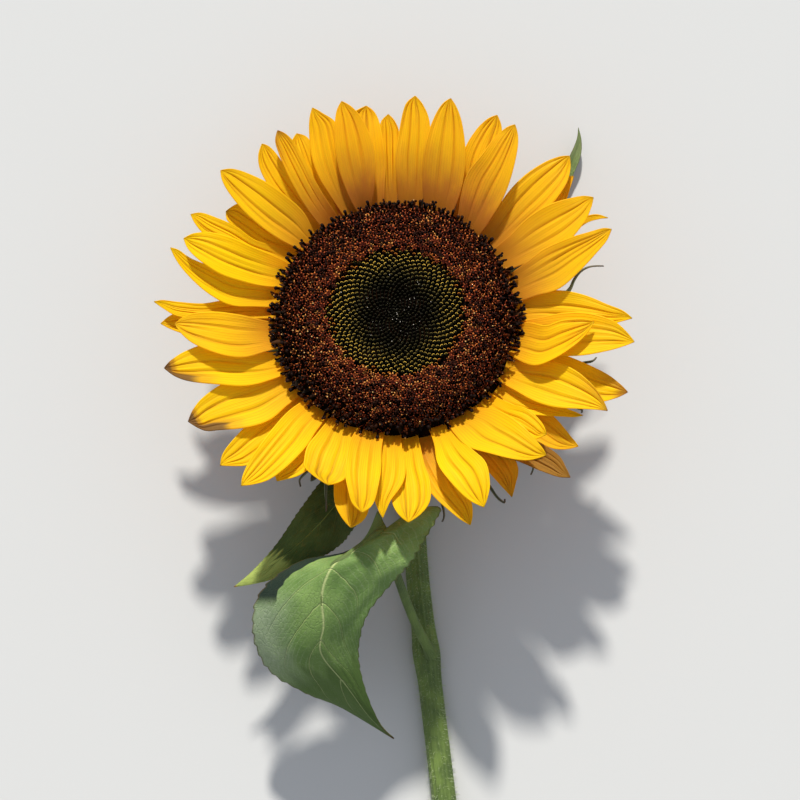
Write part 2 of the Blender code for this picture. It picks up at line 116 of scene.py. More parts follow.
class Wire:  # a socket that shader maths can be written with
    def __init__(self, shade, socket):
        self.shade, self.socket = shade, socket

    def maths(self, operation, *others, clamp=False):
        values = (self, *others)
        settings = {"operation": operation, "use_clamp": clamp}
        return self.shade.node("ShaderNodeMath", settings, dict(enumerate(values)))

    def __add__(self, other): return self.maths("ADD", other)
    def __radd__(self, other): return self.maths("ADD", other)
    def __sub__(self, other): return self.maths("SUBTRACT", other)
    def __mul__(self, other): return self.maths("MULTIPLY", other)
    def __rmul__(self, other): return self.maths("MULTIPLY", other)
    def __pow__(self, other): return self.maths("POWER", other)
    def size(self): return self.maths("ABSOLUTE")
    def wave(self): return self.maths("COSINE")
    def part(self): return self.maths("FRACT")
    def kept(self): return self.maths("ADD", 0.0, clamp=True)

    def __rsub__(self, other):
        return self.shade.node("ShaderNodeMath", {"operation": "SUBTRACT"}, {0: other, 1: self})

    def rise(self, low, high):  # 0 below low, 1 above high, smooth between
        settings = {"interpolation_type": "SMOOTHSTEP"}
        return self.shade.node("ShaderNodeMapRange", settings, {0: self, 1: low, 2: high, 3: 0.0, 4: 1.0})


class Shade:  # one material and its nodes
    def __init__(self, name, **surface):
        self.material = bpy.data.materials.new(name)
        self.material.use_nodes = True
        self.tree = self.material.node_tree
        self.skin = self.tree.nodes["Principled BSDF"]
        self.out = self.tree.nodes["Material Output"]
        self.feed(self.skin, surface)

    def feed(self, node, sockets):
        for key, value in sockets.items():
            if isinstance(key, str):
                key = key.replace("_", " ")
            socket = node.inputs[key]
            if isinstance(value, Wire):
                self.tree.links.new(value.socket, socket)
            elif isinstance(value, tuple) and socket.type == "RGBA":
                socket.default_value = (*value, 1.0)
            else:
                socket.default_value = value

    def node(self, kind, settings, sockets, give=0):
        made = self.tree.nodes.new(kind)
        for key, value in settings.items():
            setattr(made, key, value)
        self.feed(made, sockets)
        return Wire(self, made.outputs[give])

    def blend(self, factor, first, second):
        settings = {"data_type": "RGBA", "blend_type": "MIX", "clamp_factor": True}
        return self.node("ShaderNodeMix", settings, {0: factor, 6: first, 7: second}, give=2)

    def place(self):
        return self.node("ShaderNodeTexCoord", {}, {}, give=3)

    def flatPlace(self, layer):
        return self.node("ShaderNodeUVMap", {"uv_map": layer}, {})

    def stretched(self, vector, scale):
        return self.node("ShaderNodeVectorMath", {"operation": "MULTIPLY"}, {0: vector, 1: scale})

    def axis(self, vector, index):
        return self.node("ShaderNodeSeparateXYZ", {}, {0: vector}, give=index)

    def cloud(self, vector, scale, detail=3.0, rough=0.5):
        sockets = {"Vector": vector, "Scale": scale, "Detail": detail, "Roughness": rough}
        return self.node("ShaderNodeTexNoise", {}, sockets)

    def cells(self, vector, scale, feature="F1"):
        return self.node("ShaderNodeTexVoronoi", {"feature": feature}, {"Vector": vector, "Scale": scale})

    def tone(self, name):
        return self.node("ShaderNodeAttribute", {"attribute_name": name}, {}, give=2)

    def paint(self, colour):
        self.feed(self.skin, {"Base Color": colour})

    def relief(self, height, depth, strength):
        sockets = {"Height": height, "Distance": depth, "Strength": strength}
        self.feed(self.skin, {"Normal": self.node("ShaderNodeBump", {}, sockets)})

    def letLightThrough(self, share, colour):
        glow = self.node("ShaderNodeBsdfTranslucent", {}, {"Color": colour})
        both = self.node("ShaderNodeMixShader", {}, {0: share, 1: Wire(self, self.skin.outputs[0]), 2: glow})
        self.tree.links.new(both.socket, self.out.inputs[0])


def plain(name, colour, roughness, gloss=0.15):
    return Shade(name, Base_Color=colour, Roughness=roughness, Specular_IOR_Level=gloss).material


def ribbed(wire, rate, warp, sway, power):  # fine ribs, rate radians to each unit, swayed by a warp
    return ((wire * rate + warp * sway).wave() * 0.5 + 0.5) ** power


# Making meshes

weldDistance = 0.004 * mm
bloomSides = 72  # of the round bodies about the bloom's axis


def newObject(name, data):
    made = bpy.data.objects.new(name, data)
    bpy.context.scene.collection.objects.link(made)
    return made


def newPiece(name, mesh, materials, replaced=()):
    piece = newObject(name, mesh)
    for material in materials:
        mesh.materials.append(material)
    mesh.shade_smooth()
    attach(piece, "root")
    if replaced:
        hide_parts(*replaced)
    return piece


def thicken(piece, thickness, backMaterial=0):
    wall = piece.modifiers.new("wall", "SOLIDIFY")
    wall.thickness = thickness
    wall.offset = 0.0
    wall.material_offset = backMaterial


def asMesh(work, name):
    mesh = bpy.data.meshes.new(name)
    work.to_mesh(mesh)
    work.free()
    return mesh


def bentSheet(name, along, across, place, tone=0.5, mark=None):
    # a grid bent by place(u, v); its map keeps u and v, and two attributes keep its tone and its marks, which
    # on petals carry painted shade too
    work = bmesh.new()
    bmesh.ops.create_grid(work, x_segments=along, y_segments=across, size=1.0)
    layer = work.loops.layers.uv.new("blade")
    marks = work.verts.layers.float.new("mark")
    tones = work.verts.layers.float.new("tone")
    for face in work.faces:
        for loop in face.loops:
            loop[layer].uv = ((loop.vert.co.x + 1) / 2, (loop.vert.co.y + 1) / 2)
    for vert in work.verts:
        u, v = (vert.co.x + 1) / 2, vert.co.y
        vert[marks] = mark(u, v) if mark else 0.0
        vert[tones] = tone
        vert.co = place(u, v)
    bmesh.ops.remove_doubles(work, verts=work.verts, dist=weldDistance)
    return asMesh(work, name)


def ringShape(sides, rings, parts=None, edit=None):
    # rings of (radius, height) in millimetres, joined in turn; parts gives each band's material
    work = bmesh.new()
    made = bmesh.ops.create_circle(work, segments=sides, radius=rings[0][0] * mm)
    for vert in made["verts"]:
        vert.co.z = rings[0][1] * mm
    edges = list(work.edges)
    for number, (radius, height) in enumerate(rings[1:]):
        grown = bmesh.ops.extrude_edge_only(work, edges=edges)["geom"]
        edges = [g for g in grown if isinstance(g, bmesh.types.BMEdge)]
        for vert in [g for g in grown if isinstance(g, bmesh.types.BMVert)]:
            flat = vert.co.to_2d().normalized() * radius * mm
            vert.co = (flat.x, flat.y, height * mm)
        for face in [g for g in grown if isinstance(g, bmesh.types.BMFace)]:
            face.material_index = parts[number] if parts else 0
    if edit:
        edit(work)
    bmesh.ops.contextual_create(work, geom=edges)
    bmesh.ops.recalc_face_normals(work, faces=work.faces)
    return work


def latheInBloom(name, rings):  # a round body about the bloom's axis, closed at both ends
    work = ringShape(bloomSides, rings)
    bmesh.ops.contextual_create(work, geom=[e for e in work.edges if e.is_boundary])
    bmesh.ops.recalc_face_normals(work, faces=work.faces)
    turned = Matrix((faceRight, faceUp, faceAxis)).transposed().to_4x4()
    bmesh.ops.transform(work, matrix=Matrix.Translation(bloomCentre) @ turned, verts=work.verts)
    return asMesh(work, name)


def asArrays(work):
    work.verts.index_update()
    points = np.array([v.co[:] for v in work.verts])
    faces = [([v.index for v in f.verts], f.material_index) for f in work.faces]
    work.free()
    return points, faces


def grainShape(radius):
    work = bmesh.new()
    bmesh.ops.create_icosphere(work, subdivisions=1, radius=radius)
    return asArrays(work)


class Crowd:  # places for copies of one small shape, and each copy's first material
    def __init__(self):
        self.places, self.choices = [], []

    def add(self, place, choice=0):
        self.places.append(place)
        self.choices.append(choice)


def strew(name, shape, crowd, materials):
    # copies one small shape to every place of a crowd, in one mesh
    points, faces = shape
    count = len(crowd.places)
    spots = np.array(crowd.places)
    moved = np.einsum("nij,pj->npi", spots[:, :3, :3], points) + spots[:, None, :3, 3]
    sizes = np.array([len(f) for f, part in faces])
    corners = np.concatenate([f for f, part in faces])
    parts = np.array([part for f, part in faces])
    shifts = np.arange(count) * len(points)
    mesh = bpy.data.meshes.new(name)
    mesh.vertices.add(count * len(points))
    mesh.vertices.foreach_set("co", moved.reshape(-1))
    mesh.loops.add(count * len(corners))
    mesh.loops.foreach_set("vertex_index", (corners[None, :] + shifts[:, None]).reshape(-1))
    allSizes = np.tile(sizes, count)
    mesh.polygons.add(count * len(faces))
    mesh.polygons.foreach_set("loop_start", np.concatenate(([0], np.cumsum(allSizes)[:-1])))
    chosen = parts[None, :] + np.array(crowd.choices)[:, None]
    mesh.polygons.foreach_set("material_index", chosen.reshape(-1))
    mesh.update(calc_edges=True)
    newPiece(name, mesh, materials)


def planted(point, side, up, turn, scale, stretch):
    # a place for a small shape: its own X along side and Z along up, turned about Z and stretched along it
    grid = Matrix((side, up.cross(side), up)).transposed()
    grid = grid @ Matrix.Rotation(turn, 3, "Z") @ Matrix.Diagonal((scale, scale, scale * stretch))
    spot = grid.to_4x4()
    spot.translation = point
    return np.array(spot)


def standing(point, up, turn, scale, stretch):
    return planted(point, up.orthogonal().normalized(), up, turn, scale, stretch)


def facing(point, up, turn, scale, stretch):  # its own Y starts towards the top of the bloom
    return planted(point, faceUp.cross(up).normalized(), up, turn, scale, stretch)


# Petals

petalSettings = {
    "root": 38.6,
    "stations": (0.0, 0.2, 0.4, 0.6, 0.8, 0.92),  # shares of the length where the rows below give numbers
    "whorlHeights": (2.2, 0.9, -0.4, -1.7),
    "thickness": 0.34 * mm,
    "cup": 0.14,
    "cupLevel": 0.3,
    "stepsAlong": 46,
    "stepsAcross": 40,
    "furrowDepth": 0.62 * mm,
    "furrowWidth": 0.07,
    "ripple": 0.32 * mm,
    "twistDegrees": 8.0,
    "wander": 0.03,  # how far a margin strays, as a share of the half width
    "tipCup": 0.28,  # how much more they rise at the tip
    "slender": 3 * mm,  # where the half width is less than this, furrows are shallower
    "spineStep": 0.02,  # share of the length over which a blade's heading is taken
    "sideFurrows": ((0.24, 0.40), (0.56, 0.74)),  # how far out, as shares of the half width
    "middleFurrow": (-0.12, 0.12),
    "deep": (0.8, 1.3),  # how deep furrows are, beside the depth above
    "faint": (0.15, 0.8),
    "lightAzimuth": 72,  # degrees about the bloom that face away from the light
    # paintedShade: how much darker each petal is painted to stand for how little light reaches it; past about
    # 1 it turns brown, and a negative value paints it lighter
    "paintedShade": {38: 1.1, 40: 1.35, 42: 0.85, 32: 0.5, 36: 0.6, 24: 0.2, 25: 0.24, 9: 0.1, 5: 0.12, 21: -0.12},
    # shadedTips: painted shade on the curled tip and lower margin of these petals
    "shadedTips": {26: 2.6, 27: 3.2, 45: 1.2, 16: 0.7, 44: 0.6},
}

# Whorl, height of the tip, rise of the arch, azimuth and reach of the tip; then, at each station, how many
# degrees the middle lies from the tip's azimuth, and the half width. Millimetres.
petalRows = (
    (1, 11.0, 2.6, 358.0, 76.8, (5.2, 5.0, 3.9, 2.4, 1.0, 0.5), (3.7, 4.9, 5.8, 5.4, 3.3, 1.7)),
    (0, 15.0, 3.3, 20.5, 75.1, (-6.4, -5.8, -4.9, -3.1, -1.6, -0.7), (4.7, 5.8, 7.3, 6.0, 3.8, 2.2)),
    (3, 3.5, 1.2, 25.5, 77.4, (2.1, 2.1, 1.6, 2.0, 2.3, 1.5), (1.6, 2.0, 2.7, 2.3, 1.2, 0.9)),
    (1, 11.0, 2.6, 30.7, 75.4, (-0.9, -1.5, -1.4, -1.4, -1.0, -0.3), (4.0, 5.4, 7.1, 7.1, 4.9, 2.6)),
    (3, 3.0, 1.2, 39.3, 75.9, (-6.5, -6.4, -5.6, -3.9, -1.8, -0.2), (2.9, 3.4, 3.8, 3.7, 2.8, 1.8)),
    (2, 7.0, 2.0, 43.3, 78.8, (-2.8, -2.1, -1.3, -1.2, -1.0, -0.5), (3.5, 4.8, 6.3, 6.7, 5.3, 3.0)),
    (0, 15.0, 3.2, 57.8, 73.6, (-5.9, -3.8, -2.2, -1.7, -0.9, -0.4), (4.4, 6.3, 7.2, 6.0, 4.3, 2.4)),
    (2, 7.0, 1.9, 63.8, 75.8, (-5.5, -4.7, -2.7, -1.0, -0.4, -0.3), (2.4, 3.5, 5.3, 5.8, 4.6, 2.7)),
    (0, 15.0, 3.1, 75.7, 73.5, (-6.2, -4.8, -3.2, -1.9, -0.8, -0.2), (4.6, 6.6, 7.2, 6.5, 4.7, 2.6)),
    (1, 11.5, 2.5, 85.1, 73.8, (-2.0, -1.6, -1.0, -0.9, -0.6, -0.1), (4.3, 5.1, 5.6, 5.4, 4.5, 2.7)),
    (2, 5.5, 1.6, 92.3, 69.2, (0.9, 0.6, 0.3, 0.1, -0.1, 0.2), (2.2, 2.5, 2.9, 3.3, 3.2, 2.2)),
    (2, 7.5, 1.7, 98.0, 72.3, (9.0, 8.2, 6.7, 4.7, 2.7, 1.5), (7.5, 9.0, 9.7, 8.8, 6.8, 4.3)),
    (0, 15.5, 3.1, 104.2, 72.8, (2.0, 0.9, 0.3, -0.2, -0.4, -0.1), (2.5, 4.8, 6.2, 6.1, 4.5, 2.5)),
    (1, 11.0, 2.5, 111.7, 75.1, (1.2, 2.1, 1.8, 0.7, -0.5, -0.1), (2.4, 3.4, 4.8, 5.4, 4.7, 2.2)),
    (2, 7.0, 1.8, 118.0, 70.7, (2.0, 2.5, 2.7, 2.2, 1.1, 0.5), (4.5, 4.6, 4.2, 4.1, 3.8, 2.9)),
    (0, 15.5, 3.2, 122.7, 71.9, (1.6, 2.2, 2.0, 1.3, 0.6, 0.4), (3.3, 3.4, 3.6, 3.7, 3.2, 2.1)),
    (1, 10.5, 2.5, 127.6, 72.7, (3.0, 3.0, 3.2, 2.9, 1.9, 0.9), (2.0, 2.4, 3.3, 4.0, 3.8, 2.5)),
    (0, 14.0, 3.2, 140.6, 74.6, (-2.0, -1.9, -1.1, -0.7, -0.4, -0.2), (3.3, 5.8, 6.6, 6.3, 4.6, 2.7)),
    (2, 6.5, 1.6, 147.6, 66.9, (-3.6, -2.8, -1.1, -1.0, -1.1, -1.0), (2.8, 3.4, 4.2, 4.2, 4.0, 3.6)),
    (1, 11.0, 2.5, 153.7, 75.4, (-1.6, -0.6, 0.6, 0.4, 0.5, 0.1), (3.7, 3.5, 2.9, 3.6, 3.4, 2.2)),
    (0, 15.0, 3.3, 160.7, 73.6, (-2.4, -0.3, 0.6, 0.6, 0.2, 0.1), (4.1, 5.7, 6.1, 6.3, 5.0, 2.9)),
    (1, 11.0, 2.5, 163.4, 77.3, (4.8, 6.5, 7.7, 6.0, 3.5, 1.4), (3.8, 4.6, 5.1, 4.5, 2.8, 1.7)),
    (2, 7.0, 1.9, 176.3, 79.9, (-1.4, -0.8, 0.8, 2.0, 1.7, 0.6), (2.8, 3.6, 3.5, 2.6, 2.5, 1.4)),
    (3, 2.5, 1.2, 181.1, 77.8, (0.6, 0.7, 0.9, 0.4, -0.2, -0.2), (5.0, 5.9, 6.1, 5.6, 4.1, 2.2)),
    (0, 14.5, 3.3, 183.5, 72.0, (4.8, 5.2, 5.0, 3.7, 2.0, 0.9), (4.2, 5.6, 7.2, 7.4, 5.6, 3.2)),
    (1, 12.0, 2.6, 193.8, 77.6, (8.0, 7.1, 4.6, 2.2, 1.2, 0.7), (3.8, 5.2, 7.1, 7.1, 5.4, 3.1)),
    (2, 9.0, 1.9, 207.8, 76.4, (3.0, 3.4, 3.3, 2.0, 1.1, 1.0), (5.3, 6.6, 8.5, 8.4, 6.1, 3.9)),
    (3, 6.5, 1.5, 221.1, 75.8, (1.8, 1.7, 1.4, 1.3, 1.0, 0.2), (3.4, 4.1, 5.8, 6.2, 4.9, 2.6)),
    (1, 15.0, 3.0, 229.6, 76.3, (-0.7, -0.6, 0.5, 0.9, 0.8, 0.4), (4.4, 5.4, 6.2, 5.9, 4.5, 2.5)),
    (2, 9.5, 2.1, 235.3, 67.5, (0.8, 0.8, 1.4, 1.6, 0.9, -0.2), (4.3, 4.9, 5.3, 5.1, 4.1, 2.6)),
    (1, 11.5, 2.6, 249.1, 61.3, (-5.0, -5.0, -4.0, -3.5, -2.8, -2.7), (4.7, 5.3, 6.8, 7.8, 7.6, 6.0)),
    (3, 6.0, 1.6, 258.2, 71.9, (-7.3, -7.3, -5.0, -2.7, -1.0, -0.2), (3.0, 3.6, 5.1, 5.9, 5.6, 3.4)),
    (0, 17.5, 4.0, 261.1, 68.2, (-3.7, -3.7, -3.0, -2.1, -0.9, -0.5), (4.5, 5.2, 5.7, 5.7, 4.5, 3.0)),
    (1, 13.0, 3.0, 266.5, 68.4, (0.7, 0.7, 1.1, 0.7, -0.4, -0.3), (3.4, 4.0, 5.1, 5.1, 2.7, 1.2)),
    (2, 11.5, 2.6, 273.3, 69.7, (0.8, 0.8, 0.9, 1.3, 1.2, 0.6), (4.1, 4.7, 5.4, 6.5, 6.1, 3.6)),
    (3, 8.5, 2.2, 288.8, 74.0, (-6.4, -6.2, -4.8, -3.2, -1.0, -0.3), (4.0, 4.7, 5.4, 5.3, 3.9, 2.1)),
    (0, 16.5, 3.8, 293.3, 71.3, (-2.3, -2.4, -1.9, -0.2, 0.1, 0.0), (3.4, 4.1, 5.9, 6.6, 4.9, 2.5)),
    (3, 4.5, 1.6, 301.8, 70.8, (1.4, 1.4, 1.8, 2.7, 2.4, 1.0), (3.3, 3.8, 4.2, 4.9, 4.0, 1.7)),
    (0, 16.0, 3.8, 314.8, 68.5, (-12.8, -9.6, -8.0, -5.5, -3.3, -1.8), (4.3, 7.3, 8.4, 7.0, 4.8, 2.7)),
    (2, 7.5, 2.0, 315.8, 78.3, (-10.2, -10.2, -6.8, -2.8, -0.8, -0.5), (3.5, 4.2, 5.3, 4.6, 3.8, 2.0)),
    (1, 12.5, 2.5, 319.6, 63.6, (-5.0, -4.7, -3.7, -2.1, -1.5, -1.3), (3.9, 4.3, 4.5, 4.8, 4.0, 2.8)),
    (3, 2.5, 1.5, 323.9, 73.2, (-6.0, -5.2, -2.9, -1.8, -1.7, -1.0), (3.4, 4.2, 4.8, 5.1, 4.0, 2.1)),
    (2, 8.0, 1.9, 330.5, 69.4, (-5.5, -6.0, -5.5, -3.6, -1.9, -0.9), (5.1, 5.1, 4.4, 3.0, 1.6, 0.9)),
    (1, 12.5, 2.8, 333.9, 76.0, (-1.0, -0.5, 0.7, 1.0, 1.0, 0.6), (3.7, 5.3, 7.3, 6.8, 4.2, 1.9)),
    (3, 4.5, 1.4, 341.1, 79.6, (-0.6, -0.5, -0.9, -1.3, -1.1, -0.6), (3.9, 5.1, 6.4, 6.4, 5.0, 2.6)),
    (0, 14.0, 3.2, 351.9, 78.0, (-0.0, -0.3, -0.1, 0.5, 0.8, 0.4), (3.8, 5.5, 7.2, 7.2, 5.1, 2.5)),
    (0, 16.5, 3.6, 355.8, 64.4, (-6.9, -8.5, -9.6, -6.8, -3.7, -1.8), (5.2, 6.7, 6.8, 6.5, 4.4, 2.3)),
)


def acrossSpine(spine, share, up):
    step = petalSettings["spineStep"]
    ahead = (spine(min(share + step, 1)) - spine(max(share - step, 0))).normalized()
    aside = up.cross(ahead).normalized()
    return aside, ahead.cross(aside)


class Petal:  # one ray floret's blade, worked out from its row
    def __init__(self, row, number):
        s = petalSettings
        self.whorl, self.tipHeight, self.arch, self.tip, self.reach, turns, halves = row
        marks = [Vector((share, turn, half)) for share, turn, half in zip(s["stations"], turns, halves)]
        self.marks = [*marks, Vector((1.0, 0.0, 0.0))]
        luck = random.Random(number * 7 + 3)
        self.twist = math.radians(s["twistDegrees"]) * luck.uniform(-1, 1)
        self.phase, self.waves = luck.uniform(0, roundTurn), luck.uniform(1.3, 2.4)
        self.margins = [luck.uniform(0, roundTurn), luck.uniform(0, roundTurn)]
        self.curl = luck.uniform(-0.6, 1.0)
        self.tone = luck.uniform(0, 1)
        self.paintedShade = s["paintedShade"].get(number, 0.0)
        self.tipMark = s["shadedTips"].get(number, 0.0)
        near, far = s["sideFurrows"]
        self.furrows = []  # where across, how deep, and where along each begins
        for side in (-1, 1):
            self.addFurrow(side * luck.uniform(*near), luck.uniform(*s["deep"]), luck.uniform(0.0, 0.15))
            self.addFurrow(side * luck.uniform(*far), luck.uniform(*s["faint"]), luck.uniform(0.1, 0.5))
        self.addFurrow(luck.uniform(*s["middleFurrow"]), luck.uniform(*s["faint"]), luck.uniform(0.1, 0.6))

    def addFurrow(self, across, depth, start):
        self.furrows.append((across, depth, start))

    def flat(self, u, v):
        share, turn, half = through(self.marks, u)
        share, half = min(max(share, 0.0), 1.0), max(half, 0.0)
        radius = mixed(petalSettings["root"], self.reach, share)
        height = mixed(petalSettings["whorlHeights"][self.whorl], self.tipHeight, share)
        height += self.arch * 4 * share * (1 - share) + self.curl * eased(share, 0.72, 1.0)
        azimuth = math.radians(self.tip + turn) + v * half / radius
        return inBloom(radius * mm, azimuth, height * mm)

    def spine(self, u):
        return self.flat(u, 0.0)

    def furrow(self, u, v):
        width = petalSettings["furrowWidth"]
        total = 0.0
        for centre, depth, start in self.furrows:
            way = centre * (1 + 0.18 * math.sin(u * 3 + self.phase + centre * 5))
            total += depth * bump(v, way, width) * eased(u, start - 0.05, start + 0.3)
        return total

    # the marks: the furrows, and painted shade on a curled tip and lower margin
    def mark(self, u, v):
        margin = eased(u, 0.42, 0.75) * eased(v, 0.25, 0.65)
        return self.furrow(u, v) + self.tipMark * max(margin, eased(u, 0.76, 0.93))

    def place(self, u, v):
        s = petalSettings
        half = max(through(self.marks, u).z, 0.0) * mm
        lift = acrossSpine(self.spine, u, faceAxis)[1]
        stray = 1 + s["wander"] * math.sin(u * 11 + self.margins[v > 0]) * (1 - u) * abs(v)
        middle = self.spine(u)
        out = self.flat(u, v * stray) - middle
        turn = self.twist * (u - 0.25)
        out += lift * out.length * math.copysign(math.sin(turn), v)
        room = min(half / s["slender"], 1.0)
        relief = -s["furrowDepth"] * self.furrow(u, v) * room ** 0.7
        relief += s["ripple"] * math.sin(u * self.waves * roundTurn + self.phase + v) * v * v * room
        cup = s["cup"] + s["tipCup"] * eased(u, 0.7, 1.0)
        return middle + out + lift * (half * cup * (v * v - s["cupLevel"]) + relief)

    def deepTone(self):  # petals that lean away from the light are a deeper gold
        away = eased(math.cos(math.radians(self.tip - petalSettings["lightAzimuth"])), 0.05, 0.95)
        return 0.02 + 0.28 * self.tone + 0.6 * away + self.paintedShade


petalColours = {  # yellow, gold, orange and brown of each side, then what shines through, and how much
    "front": ((0.96, 0.72, 0.002), (0.88, 0.50, 0.013), (0.64, 0.24, 0.022), (0.28, 0.11, 0.028),
              (0.95, 0.38, 0.035), 0.55, 0.50),
    "back": ((0.80, 0.50, 0.03), (0.70, 0.38, 0.02), (0.52, 0.30, 0.03), (0.26, 0.13, 0.02),
             (0.98, 0.76, 0.12), 0.85, 0.66),
    # rootWarmGlow: orange towards every root, partly the petals' own warmer base, partly painted glow of
    # light through the shaded roots by the disc
    "rootWarmGlow": (0.98, 0.36, 0.022),
    # rootShade: painted shade near the roots of petals that lean away from the light
    "rootShade": (0.50, 0.19, 0.026),
    # shadedBrown: the browns of the painted shade on petals that lie in shade
    "shadedBrown": ((0.28, 0.13, 0.034), (0.17, 0.078, 0.02)),
    "tipShade": (0.20, 0.10, 0.036),
    "speck": (0.09, 0.035, 0.012),
}


def petalMaterial(name, side):
    look = petalColours
    yellow, gold, orange, brown, glow, share, clearness = look[side]
    shade = Shade(name, Roughness=0.5, Specular_IOR_Level=0.1)
    flat = shade.flatPlace("blade")
    along, across = shade.axis(flat, 0), shade.axis(flat, 1)
    tone, mark = shade.tone("tone"), shade.tone("mark")
    furrow, tipShade = mark.kept(), mark.rise(1.5, 2.5)
    streaks = shade.cloud(shade.stretched(flat, (1.6, 30.0, 1.0)), 1.0, 3.0, 0.6)
    blotches = shade.cloud(shade.stretched(flat, (4.0, 3.0, 1.0)), 1.4, 2.0, 0.5)
    veins = ribbed(across, 106.8, streaks, 5.0, 3)
    rootGlow = 1 - (along + (blotches - 0.5) * 0.3).rise(0.0, 0.55)
    dots = 1 - shade.cells(shade.stretched(flat, (8.0, 5.0, 1.0)), 1.0).rise(0.03, 0.06)
    specks = dots * blotches.rise(0.56, 0.6)
    tipEnd = along.rise(0.90, 1.0)
    # yellow to gold: each petal's random tone, and painted shade on petals that lean away from the light
    colour = shade.blend((blotches - 0.4) * 0.8 + tone * 0.75, yellow, gold)
    colour = shade.blend(streaks.rise(0.45, 0.75) * (0.15 + tone * 0.4), colour, gold)
    colour = shade.blend(veins * (0.12 + 0.3 * rootGlow), colour, orange)
    # darker orange, and brown towards the tip, along the furrows: painted shade in the creases
    colour = shade.blend(furrow * (0.15 + 0.3 * along), colour, orange)
    colour = shade.blend(furrow * along.rise(0.45, 0.95) * 0.6, colour, brown)
    # orange towards the root: partly the petals' own warmer base, partly painted glow of the shaded roots
    colour = shade.blend((1 - along.rise(0.0, 0.32)) * 0.48, colour, look["rootWarmGlow"])
    # painted shade: brown-orange near the root of petals that lean away from the light
    colour = shade.blend(rootGlow * (tone * 1.5 - 0.20), colour, look["rootShade"])
    colour = shade.blend(tipEnd * (0.25 + furrow * 0.6), colour, brown)
    # painted shade: a browner colour for petals that lie in the shade of others, which also lets less light
    # through
    shadedBrown = tone.rise(0.95, 1.7) * 0.92
    colour = shade.blend(shadedBrown, colour, shade.blend(streaks.rise(0.4, 0.7), *look["shadedBrown"]))
    # painted shade on curled tips and margins
    colour = shade.blend(tipShade * 0.88, colour, look["tipShade"])
    colour = shade.blend(specks * 0.8, colour, look["speck"])
    shade.paint(colour)
    ridges = veins * 0.35 + (across * 213.6).wave() * 0.12 + streaks * 0.5
    shade.relief(ridges, 0.14 * mm, 0.9)
    shade.letLightThrough(clearness, shade.blend(share - shadedBrown * 0.45 - tipShade * 0.5, colour, glow))
    return shade.material


def makePetals():
    materials = [petalMaterial("petalFace", "front"), petalMaterial("petalBack", "back")]
    s = petalSettings
    for number, row in enumerate(petalRows, start=1):
        petal = Petal(row, number)
        name = f"petal{number:02d}"
        solid = f"ray_{number:02d}"
        mesh = bentSheet(name, s["stepsAlong"], s["stepsAcross"], petal.place, petal.deepTone(), petal.mark)
        piece = newPiece(name, mesh, materials, (solid,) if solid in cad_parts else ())
        thicken(piece, s["thickness"], 1)
    print("petals made")


makePetals()


# The disc: a dark bed, then buds in the middle and open florets round them

discSettings = {
    # Radius and height in millimetres, from the middle over the rim to the underside
    "bed": ((0.05, 8.4), (8, 8.8), (15, 9.2), (21, 9.4), (25, 9.6), (30, 9.2), (34, 7.8), (37.4, 5.0),
            (38.6, 2.4), (39.5, 0.8), (40.4, 0.2), (40.3, 0.06), (0.05, 0.06)),
    "bedRows": 9,  # rows of the bed that florets stand on
    "count": 2080,
    "spread": 0.3409,  # millimetres, times the floret's number to the power below
    "power": 0.62,
    "squash": 0.025,  # how much narrower the disc is from top to bottom
    "shrink": 0.4,  # millimetres off the rim
    # Azimuth in degrees, rise in millimetres and reach of each bulge or dent of the rim
    "bulges": ((202, 2.1, 0.10), (0, 2.2, 0.02), (108, -1.1, 0.10), (45, -0.9, 0.06), (322, -0.3, 0.06)),
    "budEnd": 21.7,
    "budWiden": 1.3,  # how much farther the buds reach to each side
    "darkEnd": 7.0,
    "borderBlur": 0.6,
}


def bedHeight(radius):
    rows = discSettings["bed"][:discSettings["bedRows"]]
    for (r0, h0), (r1, h1) in zip(rows, rows[1:]):
        if radius <= r1:
            return mixed(h0, h1, (radius - r0) / (r1 - r0))
    return rows[-1][1]


def rimBulge(azimuth):  # the rim is not quite round
    return sum(rise * bump(math.cos(azimuth - math.radians(way)), 1.0, reach)
               for way, rise, reach in discSettings["bulges"]) - discSettings["shrink"]


def floretSpots():
    # radius, azimuth and the buds' border there for each floret of the spiral, and its random draws
    s = discSettings
    turn = math.pi * (3 - math.sqrt(5))
    luck = random.Random(11)
    for number in range(1, s["count"] + 1):
        radius = s["spread"] * number ** s["power"]
        radius *= 1 - s["squash"] * math.sin(number * turn) ** 2
        if radius > 30:
            radius += rimBulge(number * turn) * eased(radius, 30.0, 38.0)
        border = s["budEnd"] + s["budWiden"] * math.cos(number * turn) ** 2
        yield radius, number * turn, border, luck


def leanAt(radius):
    slope = (bedHeight(radius + 0.4) - bedHeight(max(radius - 0.4, 0.1))) / 0.8
    return -math.atan(slope)


def floretUp(azimuth, lean):
    return (faceAxis * math.cos(lean) + outwardAt(azimuth) * math.sin(lean)).normalized()


def drifted(luck, reach):
    return faceRight * luck.uniform(-reach, reach) + faceUp * luck.uniform(-reach, reach)


def bedMaterial():
    shade = Shade("floretBed", Roughness=0.85, Specular_IOR_Level=0.0)
    grain = shade.cells(shade.place(), 900.0)
    patches = shade.cloud(shade.place(), 240.0)
    colour = shade.blend(patches.rise(0.4, 0.65), (0.003, 0.002, 0.002), (0.009, 0.004, 0.002))
    shade.paint(colour)
    shade.relief(grain, 0.5 * mm, 0.7)
    return shade.material


def makeBed():
    bed = latheInBloom("floretBed", discSettings["bed"])
    newPiece("floretBed", bed, [bedMaterial()], ("disc_florets", "disc_buds"))


